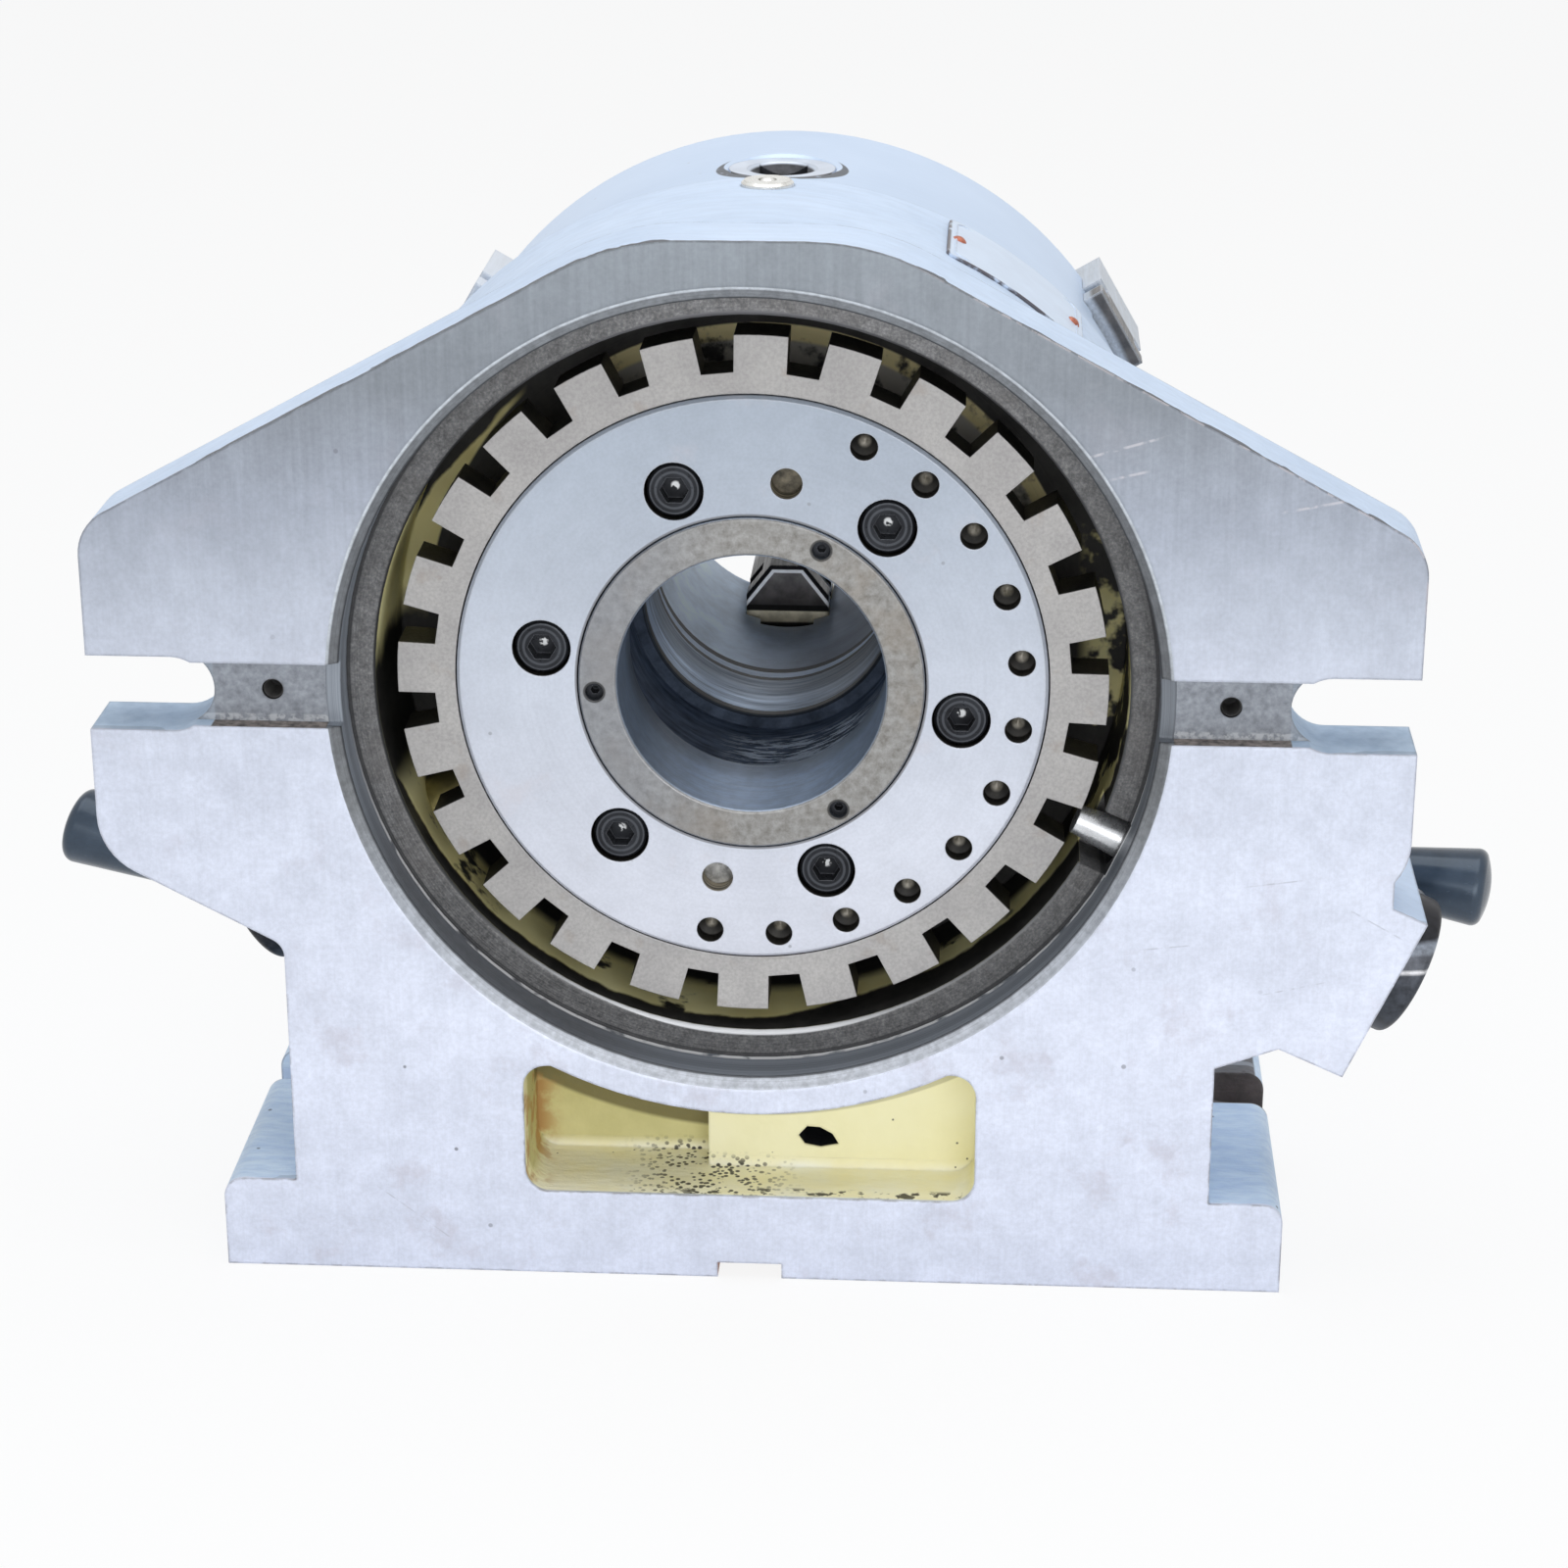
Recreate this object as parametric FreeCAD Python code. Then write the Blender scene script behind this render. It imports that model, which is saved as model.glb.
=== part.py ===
import FreeCAD, Part
import math
import os

# Rotary indexing table: a cast housing that stands on its base or lies on its rear face, a hollow spindle
# with a notched index ring at the rear and a three-jaw scroll chuck at the front, an index plunger worked
# by a lever, and a spindle clamp worked by a second lever.
# Millimetres. X is to the right seen from the rear, Y runs from the rear face to the chuck, Z is up.
# The spindle axis runs along Y at x = 0. Angles are in the XZ plane, from +X towards +Z.

os.makedirs("parts", exist_ok=True)
V = FreeCAD.Vector

# Housing
axis_height = 152.4
ear_half = 157.6
ear_thick = 20.0
ear_top_z = 193.6
ear_low_z = 110.9
ear_corner_r = 12.0
ear_low_r = 16.0
top_half = 29.4
top_z = 263.3
top_round_r = 60.0
pedestal_half = 113.6
pedestal_shoulder_z = 87.8
pedestal_fillet_r = 5.0
base_half = 132.0
base_depth = 134.0
base_height = 24.0
base_edge_r = 5.0
drum_r = 107.5
drum_end = 94.0
drum_edge = 5.5
flare_r = 110.4
flare_len = 9.0

# Slots and keyways
slot_half = 9.35
ear_slot_centre = 137.4
base_slot_centre = 122.0
base_slot_y = 67.0
base_slot_half = 9.0
key_width = 16.0
key_depth = 4.0
groove_depth = 5.0
key_hole_x = 114.0
key_hole_r = 2.6
key_hole_depth = 14.0

# Rear recess, chamber and pocket
recess_mouth_r = 100.7
recess_r = 97.6
recess_chamfer = 1.8
shelf_depth = 13.6
shelf_r = 90.7
shelf_edge = 0.7
chamber_depth = 54.0
pocket_half = 55.8
pocket_low_z = 22.6
pocket_high_z = 57.2
pocket_arc_r = 107.0
pocket_corner_r = 6.0
pocket_depth = 17.0
pocket_deep = 26.0
pocket_step_x = -11.4
core_hole_x = 16.5
core_hole_z = 31.0
core_hole_depth = 12.0

# Spindle and bearings
spindle_front = 14.2
spindle_rear_r = 41.7
spindle_bore_r = 32.4
bore_relief_r = 36.0
bore_relief_from = 46.0
bore_relief_to = 83.0
journal_r = 52.0
journal_from = 52.4
flange_r = 98.0
flange_from = 95.6
flange_thick = 17.0
bush_wall = 8.0
bush_gap = 0.05
seat_gap = 0.03
rear_bush_to = 70.0
front_bush_from = 76.0
bush_collar_r = 72.0
bush_collar_thick = 1.2
washer_thick = 1.3
grub_pcr = 37.9
grub_r = 2.2
grub_len = 6.0
grub_angle = 63.8

# Index ring, disc and hub
ring_face = 15.6
ring_thick = 12.0
ring_r = 85.55
notch_count = 24
notch_root_r = 76.6
notch_half = 3.83
notch_taper = 6.5
index_angle = -24.2
disc_face = 14.8
disc_r = 71.2
disc_edge = 0.8
ledge_r = 64.0
ledge_thick = 3.0
hub_r = 66.0
disc_bore_gap = 0.35
small_hole_count = 12
small_hole_pcr = 65.0
small_hole_r = 3.3
small_hole_depth = 4.5
small_hole_first = 6
screw_count = 6
screw_pcr = 51.1
screw_r = 4.0
screw_head_r = 6.5
screw_head_h = 8.0
screw_sink_r = 7.1
screw_sink_depth = 9.0
screw_len = 24.0
screw_hex = 6.0
dowel_pcr = 50.8
dowel_r = 3.8
dowel_angle = 80.4
dowel_sink = 5.0
dowel_len = 18.0

# Index plunger and lever
boss_end = 169.9
boss_high = 18.8
boss_low = 25.6
boss_depth = 43.2
web_reach = 152.7
web_low_z = 60.8
ear_web_inset = 9.2
ear_web_lean = 3.0
ear_web_rise = 6.6
plunger_r = 7.0
plunger_tip_r = 3.55
plunger_rest = 86.2
plunger_nose = 11.8
plunger_len = 71.0
plunger_bush_wall = 3.0
plunger_bush_from = 104.0
plunger_bush_len = 44.0
plunger_slot_half = 7.4
hub_disc_r = 17.6
hub_disc_thick = 7.0
hub_shaft_r = 11.0
hub_shaft_len = 10.0
hub_gap = 0.3
arm_r = 3.2
arm_reach = 32.1
arm_swing = 22.3
arm_out = 3.3
arm_root = 8.0
knob_tip_r = 10.0
knob_taper = 6.6
knob_len = 22.0
knob_dome = 2.4
knob_edge = 2.6
knob_tilt = 20.5
knob_lean = 9.8
knob_overhang = 4.2

# Spindle clamp and lever
clamp_angle = 208.0
clamp_y = 40.0
clamp_boss_r = 19.0
clamp_hub_clear = 0.69
clamp_screw_r = 8.0
clamp_pad_len = 13.0
clamp_pad_gap = 0.3
clamp_arm_len = 54.2
clamp_arm_rise = 43.4
clamp_arm_back = 11.0
clamp_knob_len = 30.0
knob_socket = 10.0

# Chuck
chuck_r = 100.0
chuck_thick = 77.4
chuck_edge = 1.5
chuck_bore_r = 33.0
cavity_in_r = 45.0
cavity_out_r = 84.0
cover_thick = 9.5
face_plate = 27.0
scroll_thick = 7.5
thread_pitch = 10.0
thread_width = 4.4
thread_height = 4.9
thread_from_r = 48.5
thread_turns = 3.2
scroll_gap = 0.3
jaw_angles = (270.0, 30.0, 150.0)
jaw_width = 23.0
jaw_gap = 0.2
jaw_tip = 17.0
jaw_end = 105.0
jaw_tip_flat = 9.6
jaw_bevel = 8.6
jaw_step_r = (38.0, 68.0)
jaw_heights = (42.0, 27.0, 14.0)
guide_depth = 4.0
guide_from = 8.0
guide_width = 6.0
tooth_width = 14.0
tooth_thick = 3.4
pinion_y = 28.4
pinion_r = 14.0
pinion_sink = 0.8
pinion_mouth_r = 15.4
pinion_inner = 56.0
pinion_cone_big = 8.9
pinion_cone_small = 6.2
pinion_square = 12.7
pinion_square_depth = 13.5
pinion_lead_r = 9.3
keeper_y = 6.0
keeper_r = 5.6
keeper_len = 9.0
keeper_x = -2.5
bolt_count = 6
bolt_pcr = 92.0
bolt_r = 4.0
bolt_head_r = 6.5
bolt_head_h = 8.0
bolt_sink_r = 7.0
bolt_sink_depth = 9.0
bolt_grip = 14.0
face_groove_r = (58.0, 76.0)
face_groove_width = 1.8
face_groove_depth = 1.2

# Nameplate
plate_from_angle = 44.0
plate_to_angle = 65.5
plate_from_y = 47.0
plate_to_y = 85.0
plate_thick = 0.8
plate_corner_r = 3.0
rivet_r = 1.8
rivet_inset = 3.0
rivet_rise = 0.9

# Oil cup
oil_angle = 90.0
oil_y = 80.0
oil_cup_r = 6.5
oil_cup_rise = 1.2
oil_cup_sink = 2.0
oil_cup_edge = 0.7
oil_stem_r = 4.0
oil_stem_len = 8.0
oil_hole_r = 1.5
oil_ball_r = 2.2
oil_ball_seat = 3.2

# Derived places
ring_back = ring_face + ring_thick
hub_back = journal_from
bush_r = journal_r + bush_gap + bush_wall
chuck_back = flange_from + flange_thick
chuck_front = chuck_back + chuck_thick
slot_floor = chuck_front - face_plate
scroll_back = slot_floor - scroll_gap - thread_height - scroll_thick
notch_step = 360.0 / notch_count
clamp_cos = abs(math.cos(math.radians(clamp_angle)))
clamp_sin = abs(math.sin(math.radians(clamp_angle)))
clamp_boss_end = (pedestal_half + clamp_hub_clear + hub_disc_r * clamp_sin) / clamp_cos - hub_gap


def at(angle, u, v, y):
    """A point u out along an angle from the spindle axis, v across it and y deep."""
    c = math.cos(math.radians(angle))
    s = math.sin(math.radians(angle))
    return V(u * c - v * s, y, axis_height + u * s + v * c)


def along(angle):
    """The unit vector outwards along an angle."""
    return V(math.cos(math.radians(angle)), 0, math.sin(math.radians(angle)))


def box(x0, x1, y0, y1, z0, z1):
    return Part.makeBox(x1 - x0, y1 - y0, z1 - z0, V(x0, y0, z0))


def turned(profile):
    """A solid of revolution about the spindle axis from (radius, y) corners."""
    pts = [V(r, y, axis_height) for r, y in profile]
    face = Part.Face(Part.makePolygon(pts + [pts[0]]))
    return face.revolve(V(0, 0, axis_height), V(0, 1, 0), 360)


def tube(r_out, r_in, y0, y1):
    return turned([(r_in, y0), (r_out, y0), (r_out, y1), (r_in, y1)])


def rod(start, direction, r, length):
    return Part.makeCylinder(r, length, start, direction)


def slab(angle, corners, y0, y1):
    """A prism along Y from (u, v) corners set out at an angle."""
    pts = [at(angle, u, v, y0) for u, v in corners]
    face = Part.Face(Part.makePolygon(pts + [pts[0]]))
    return face.extrude(V(0, y1 - y0, 0))


def bar(angle, corners, v0, v1):
    """A prism across an angle from (u, y) corners."""
    pts = [at(angle, u, v0, y) for u, y in corners]
    face = Part.Face(Part.makePolygon(pts + [pts[0]]))
    return face.extrude(at(angle, 0, v1, 0) - at(angle, 0, v0, 0))


def rounded(corners, y0, y1):
    """A prism along Y from (x, z, radius) corners, each rounded by its radius."""
    n = len(corners)
    edges = []
    ends = []
    for i in range(n):
        a = V(corners[i - 1][0], y0, corners[i - 1][1])
        b = V(corners[i][0], y0, corners[i][1])
        c = V(corners[(i + 1) % n][0], y0, corners[(i + 1) % n][1])
        r = corners[i][2]
        d1 = (a - b).normalize()
        d2 = (c - b).normalize()
        if r <= 0:
            ends.append((b, b, None))
            continue
        half = math.acos(max(-1.0, min(1.0, d1.dot(d2)))) / 2
        t = r / math.tan(half)
        mid = (d1 + d2).normalize()
        centre = b + mid * (r / math.sin(half))
        ends.append((b + d1 * t, b + d2 * t, centre - mid * r))
    for i in range(n):
        p, q, m = ends[i]
        if m is not None:
            edges.append(Part.Arc(p, m, q).toShape())
        nxt = ends[(i + 1) % n][0]
        edges.append(Part.makeLine(q, nxt))
    return Part.Face(Part.Wire(edges)).extrude(V(0, y1 - y0, 0))


def prism_on(origin, direction, sides, across, depth, turn=0.0):
    """A regular prism with the given width across flats, sunk along a direction."""
    w = V(direction).normalize()
    ref = V(0, 1, 0) if abs(w.y) < 0.9 else V(1, 0, 0)
    e1 = w.cross(ref).normalize()
    e2 = w.cross(e1).normalize()
    rad = across / 2 / math.cos(math.pi / sides)
    pts = []
    for k in range(sides):
        g = math.radians(turn) + 2 * math.pi * (k + 0.5) / sides
        pts.append(origin + e1 * (rad * math.cos(g)) + e2 * (rad * math.sin(g)))
    return Part.Face(Part.makePolygon(pts + [pts[0]])).extrude(w * depth)


def cap_screw(head, direction, r, head_r, head_h, length, hex_size):
    """A socket head screw: head is the centre of the head's outer face, direction points inwards."""
    w = V(direction).normalize()
    body = rod(head, w, head_r, head_h)
    edges = [e for e in body.Edges if e.Length > 1 and abs((e.BoundBox.Center - head).Length) < 0.01]
    body = body.makeChamfer(head_r * 0.1, edges)
    body = body.fuse(rod(head + w * head_h, w, r, length))
    return body.cut(prism_on(head, w, 6, hex_size, head_h * 0.55))


def save(shape, name):
    shape.exportStep("parts/" + name + ".step")


# Casting
right_side = [(pedestal_half, base_height, 0), (pedestal_half, pedestal_shoulder_z, pedestal_fillet_r)]
right_side += [(ear_half, ear_low_z, ear_low_r), (ear_half, ear_top_z, ear_corner_r)]
right_side += [(top_half, top_z, top_round_r)]
left_side = [(-x, z, r) for x, z, r in reversed(right_side)]
face_body = rounded(right_side + left_side, 0, ear_thick)
column = [(-pedestal_half, base_height), (pedestal_half, base_height), (pedestal_half, pedestal_shoulder_z)]
column += [(drum_r, axis_height), (-drum_r, axis_height), (-pedestal_half, pedestal_shoulder_z)]
pts = [V(x, 0, z) for x, z in column]
column_body = Part.Face(Part.makePolygon(pts + [pts[0]])).extrude(V(0, drum_end, 0))
drum_outline = [(0, 0), (drum_r, 0), (drum_r, ear_thick), (flare_r, ear_thick)]
drum_outline += [(drum_r, ear_thick + flare_len), (drum_r, drum_end - drum_edge)]
drum_outline += [(drum_r - drum_edge, drum_end), (0, drum_end)]
drum_body = turned(drum_outline)
base_corners = [(-base_half, 0, 0), (base_half, 0, 0), (base_half, base_height, base_edge_r)]
base_corners += [(-base_half, base_height, base_edge_r)]
base_body = rounded(base_corners, 0, base_depth)
boss_corners = [(recess_r, -boss_low), (boss_end, -boss_low), (boss_end, boss_high), (recess_r, boss_high)]
boss_body = slab(index_angle, boss_corners, 0, boss_depth)
web_pts = [V(pedestal_half, 0, web_low_z), at(index_angle, web_reach, -boss_low, 0)]
web_pts += [at(index_angle, web_reach, 0, 0), at(index_angle, recess_r, 0, 0)]
web_body = Part.Face(Part.makePolygon(web_pts + [web_pts[0]])).extrude(V(0, ear_thick, 0))
ear_web_u = boss_end - ear_web_inset
ear_web_top = boss_high + ear_web_rise
ear_web = [(recess_r, 0), (ear_web_u, 0), (ear_web_u, boss_high), (ear_web_u - ear_web_lean, ear_web_top)]
ear_web_body = slab(index_angle, ear_web + [(recess_r, ear_web_top)], 0, ear_thick)
clamp_dir = along(clamp_angle)
clamp_body = rod(at(clamp_angle, shelf_r, 0, clamp_y), clamp_dir, clamp_boss_r, clamp_boss_end - shelf_r)
lugs = [boss_body, web_body, ear_web_body, clamp_body]
casting = face_body.fuse([column_body, drum_body, base_body] + lugs).removeSplitter()

recess = [(0, -1), (recess_mouth_r + recess_chamfer, -1), (recess_mouth_r, 0), (recess_r, recess_chamfer)]
recess += [(recess_r, shelf_depth), (shelf_r + shelf_edge, shelf_depth)]
recess += [(shelf_r, shelf_depth + shelf_edge), (shelf_r, chamber_depth)]
recess += [(bush_r + seat_gap, chamber_depth), (bush_r + seat_gap, drum_end + 1), (0, drum_end + 1)]
cuts = [turned(recess)]
for side in (-1, 1):
    inner = side * recess_r * 0.9
    outer = side * ear_slot_centre
    edge = side * (ear_half + 5)
    cuts.append(box(min(outer, edge), max(outer, edge), -1, ear_thick + 1,
                    axis_height - slot_half, axis_height + slot_half))
    cuts.append(rod(V(outer, -1, axis_height), V(0, 1, 0), slot_half, ear_thick + 2))
    cuts.append(box(min(inner, outer), max(inner, outer), -1, groove_depth,
                    axis_height - key_width / 2, axis_height + key_width / 2))
    cuts.append(rod(V(side * key_hole_x, 0, axis_height), V(0, 1, 0), key_hole_r, key_hole_depth))
    far = side * (base_half + 5)
    near = side * base_slot_centre
    cuts.append(box(min(near, far), max(near, far), base_slot_y - base_slot_half,
                    base_slot_y + base_slot_half, -1, base_height + 1))
    cuts.append(rod(V(near, base_slot_y, -1), V(0, 0, 1), base_slot_half, base_height + 2))
cuts.append(box(-key_width / 2, key_width / 2, -1, base_depth + 1, -1, key_depth))
spots = ((-1, pocket_low_z), (1, pocket_low_z), (1, pocket_high_z), (-1, pocket_high_z))
pocket = rounded([(s * pocket_half, z, pocket_corner_r) for s, z in spots], -1, pocket_depth)
deep_corners = [(-pocket_half, pocket_low_z, pocket_corner_r), (pocket_step_x, pocket_low_z, 0)]
deep_corners += [(pocket_step_x, pocket_high_z, 0), (-pocket_half, pocket_high_z, pocket_corner_r)]
pocket = pocket.fuse(rounded(deep_corners, -1, pocket_deep))
land = rod(V(0, -2, axis_height), V(0, 1, 0), pocket_arc_r, pocket_deep + 4)
cuts.append(pocket.cut(land))
core = [(-5.2, 0.6), (-3.6, -1.8), (0.4, -2.6), (5.0, -1.6), (3.4, 1.2), (0.2, 3.0), (-3.0, 3.2)]
pts = [V(core_hole_x + x, pocket_depth - 1, core_hole_z + z) for x, z in core]
cuts.append(Part.Face(Part.makePolygon(pts + [pts[0]])).extrude(V(0, core_hole_depth, 0)))

plunger_y = ring_face + ring_thick / 2
index_dir = along(index_angle)
plunger_bush_r = plunger_r + bush_gap + plunger_bush_wall
slot_corners = [(shelf_r - 3, -plunger_slot_half), (recess_r, -plunger_slot_half)]
slot_corners += [(recess_r, plunger_slot_half), (shelf_r - 3, plunger_slot_half)]
cuts.append(slab(index_angle, slot_corners, shelf_depth - 3, plunger_y + plunger_slot_half))
cuts.append(rod(at(index_angle, shelf_r, 0, plunger_y), index_dir, plunger_r + bush_gap, boss_end - shelf_r))
cuts.append(rod(at(index_angle, plunger_bush_from, 0, plunger_y), index_dir, plunger_bush_r + seat_gap,
                boss_end - plunger_bush_from))
cuts.append(rod(at(index_angle, boss_end - hub_shaft_len, 0, plunger_y), index_dir, hub_shaft_r + bush_gap,
                hub_shaft_len + 1))
cuts.append(rod(at(clamp_angle, shelf_r - 5, 0, clamp_y), clamp_dir, clamp_screw_r + bush_gap,
                clamp_boss_end - shelf_r + 6))
oil_up = along(oil_angle)
cup_seat = drum_r - oil_cup_sink
stem_end = cup_seat - oil_stem_len
cuts.append(rod(at(oil_angle, cup_seat, 0, oil_y), oil_up, oil_cup_r + seat_gap, oil_cup_sink + 5))
cuts.append(rod(at(oil_angle, stem_end, 0, oil_y), oil_up, oil_stem_r + seat_gap, oil_stem_len + 1))
cuts.append(rod(at(oil_angle, bush_r, 0, oil_y), oil_up, oil_hole_r, drum_r - bush_r))
for shape in cuts:
    casting = casting.cut(shape)
casting = casting.removeSplitter()
save(casting, "casting")

# Oil cup and its ball
cup_top = drum_r + oil_cup_rise
cup = rod(at(oil_angle, cup_seat, 0, oil_y), oil_up, oil_cup_r, oil_cup_sink + oil_cup_rise)
rim_at = at(oil_angle, cup_top, 0, oil_y)
cup_rim = [e for e in cup.Edges if (e.BoundBox.Center - rim_at).Length < 0.01]
cup = cup.makeChamfer(oil_cup_edge, cup_rim)
cup = cup.fuse(rod(at(oil_angle, stem_end, 0, oil_y), oil_up, oil_stem_r, oil_stem_len))
cup = cup.cut(rod(at(oil_angle, stem_end - 1, 0, oil_y), oil_up, oil_hole_r, cup_top - stem_end + 2))
ball_seat = at(oil_angle, cup_top - oil_ball_seat, 0, oil_y)
cup = cup.cut(rod(ball_seat, oil_up, oil_ball_r + bush_gap, oil_ball_seat + 1))
save(cup.removeSplitter(), "oil_cup")
ball_rise = math.sqrt(oil_ball_r ** 2 - oil_hole_r ** 2) + seat_gap
save(Part.makeSphere(oil_ball_r, ball_seat + oil_up * ball_rise), "oil_ball")

# Bearings
rear_bush = tube(bush_r, journal_r + bush_gap, chamber_depth, rear_bush_to)
save(rear_bush, "rear_bush")
collar = [(journal_r + bush_gap, front_bush_from), (bush_r, front_bush_from), (bush_r, drum_end)]
collar += [(bush_collar_r, drum_end), (bush_collar_r, drum_end + bush_collar_thick)]
collar += [(journal_r + bush_gap, drum_end + bush_collar_thick)]
save(turned(collar), "front_bush")
washer = tube(hub_r, journal_r + 1, chamber_depth - washer_thick, chamber_depth)
save(washer, "thrust_washer")

# Spindle
spindle_outline = [(spindle_bore_r + 0.6, spindle_front), (spindle_rear_r - 0.5, spindle_front)]
spindle_outline += [(spindle_rear_r, spindle_front + 0.5), (spindle_rear_r, journal_from)]
spindle_outline += [(journal_r, journal_from), (journal_r, flange_from), (flange_r, flange_from)]
spindle_outline += [(flange_r, chuck_back), (spindle_bore_r, chuck_back), (spindle_bore_r, bore_relief_to)]
spindle_outline += [(bore_relief_r, bore_relief_to), (bore_relief_r, bore_relief_from)]
spindle_outline += [(spindle_bore_r, bore_relief_from), (spindle_bore_r, spindle_front + 0.6)]
spindle = turned(spindle_outline)
grubs = []
for k in range(3):
    a = grub_angle + 120 * k
    spot = at(a, grub_pcr, 0, spindle_front)
    spindle = spindle.cut(rod(spot, V(0, 1, 0), grub_r, grub_len + 2))
    grub = rod(spot + V(0, 2, 0), V(0, 1, 0), grub_r - seat_gap, grub_len)
    grubs.append(grub.cut(prism_on(spot + V(0, 2, 0), V(0, 1, 0), 6, grub_r * 0.9, grub_len * 0.5)))
for k in range(bolt_count):
    a = 360.0 / bolt_count * k
    tap = rod(at(a, bolt_pcr, 0, flange_from), V(0, 1, 0), bolt_r + seat_gap, flange_thick)
    spindle = spindle.cut(tap)
save(spindle, "spindle")
save(Part.Compound(grubs), "spindle_screws")

# Index ring
ring_outline = [(disc_r + disc_bore_gap, ring_face), (ring_r, ring_face), (ring_r, ring_back)]
ring_outline += [(ledge_r + disc_bore_gap, ring_back), (ledge_r + disc_bore_gap, ring_back - ledge_thick)]
ring_outline += [(disc_r + disc_bore_gap, ring_back - ledge_thick)]
index_ring = turned(ring_outline)
reach = ring_r + 4
grow = math.tan(math.radians(notch_taper))
mouth = notch_half + (reach - notch_root_r) * grow
for k in range(notch_count):
    corners = [(notch_root_r, -notch_half), (reach, -mouth), (reach, mouth), (notch_root_r, notch_half)]
    index_ring = index_ring.cut(slab(index_angle + notch_step * k, corners, ring_face - 1, ring_back + 1))
save(index_ring, "index_ring")

# Index disc and hub
disc_bore = spindle_rear_r + disc_bore_gap
disc_outline = [(disc_bore, disc_face), (disc_r - disc_edge, disc_face), (disc_r, disc_face + disc_edge)]
disc_outline += [(disc_r, ring_back - ledge_thick), (ledge_r, ring_back - ledge_thick), (ledge_r, ring_back)]
disc_outline += [(disc_bore, ring_back)]
disc = turned(disc_outline)
hub = tube(hub_r, spindle_rear_r + seat_gap, ring_back, hub_back)
for k in range(small_hole_count):
    a = index_angle + notch_step * (small_hole_first - k)
    spot = at(a, small_hole_pcr, 0, disc_face)
    disc = disc.cut(rod(spot, V(0, 1, 0), small_hole_r, small_hole_depth))
    tip = Part.makeCone(small_hole_r, 0, small_hole_r * 0.6, spot + V(0, small_hole_depth, 0), V(0, 1, 0))
    disc = disc.cut(tip)
screws = []
screw_head_y = disc_face + screw_sink_depth - screw_head_h
for k in range(screw_count):
    a = index_angle + notch_step + 360.0 / screw_count * k
    spot = at(a, screw_pcr, 0, disc_face)
    disc = disc.cut(rod(spot, V(0, 1, 0), screw_sink_r, screw_sink_depth))
    disc = disc.cut(rod(spot, V(0, 1, 0), screw_r + 0.5, ring_back))
    head = at(a, screw_pcr, 0, screw_head_y)
    hub = hub.cut(rod(at(a, screw_pcr, 0, ring_back), V(0, 1, 0), screw_r + seat_gap, screw_len))
    screws.append(cap_screw(head, V(0, 1, 0), screw_r, screw_head_r, screw_head_h, screw_len, screw_hex))
dowels = []
for k in range(2):
    a = dowel_angle + 180 * k
    spot = at(a, dowel_pcr, 0, disc_face)
    disc = disc.cut(rod(spot, V(0, 1, 0), dowel_r, ring_back))
    hub = hub.cut(rod(at(a, dowel_pcr, 0, ring_back), V(0, 1, 0), dowel_r, dowel_len))
    start = at(a, dowel_pcr, 0, disc_face + dowel_sink)
    dowels.append(rod(start, V(0, 1, 0), dowel_r - seat_gap, dowel_len))
save(disc, "index_disc")
save(hub, "index_hub")
save(Part.Compound(screws), "disc_screws")
save(Part.Compound(dowels), "disc_dowels")

# Index plunger, its guide bush and its lever
tip_at = plunger_rest
nose_end = tip_at + plunger_nose
nose_r = plunger_tip_r + plunger_nose * grow
nose = Part.makeCone(plunger_tip_r, nose_r, plunger_nose, at(index_angle, tip_at, 0, plunger_y), index_dir)
shank = rod(at(index_angle, nose_end, 0, plunger_y), index_dir, nose_r, plunger_len - plunger_nose)
stem_from = plunger_bush_from - 3
stem = rod(at(index_angle, stem_from, 0, plunger_y), index_dir, plunger_r, tip_at + plunger_len - stem_from)
save(nose.fuse([shank, stem]).removeSplitter(), "plunger")
guide = rod(at(index_angle, plunger_bush_from, 0, plunger_y), index_dir, plunger_bush_r, plunger_bush_len)
guide = guide.cut(rod(at(index_angle, plunger_bush_from - 1, 0, plunger_y), index_dir, plunger_r + bush_gap,
                      plunger_bush_len + 2))
save(guide, "plunger_bush")

hub_from = boss_end + hub_gap
hub_spot = at(index_angle, hub_from, 0, plunger_y)
lever_hub = rod(hub_spot, index_dir, hub_disc_r, hub_disc_thick)
outer_edge = [e for e in lever_hub.Edges
              if (e.BoundBox.Center - (hub_spot + index_dir * hub_disc_thick)).Length < 0.01]
lever_hub = lever_hub.makeFillet(1.6, outer_edge)
plug_from = boss_end - hub_shaft_len + hub_gap
lever_hub = lever_hub.fuse(rod(at(index_angle, plug_from, 0, plunger_y), index_dir, hub_shaft_r,
                               hub_from - plug_from))
arm_u = hub_from + hub_disc_thick / 2


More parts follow.
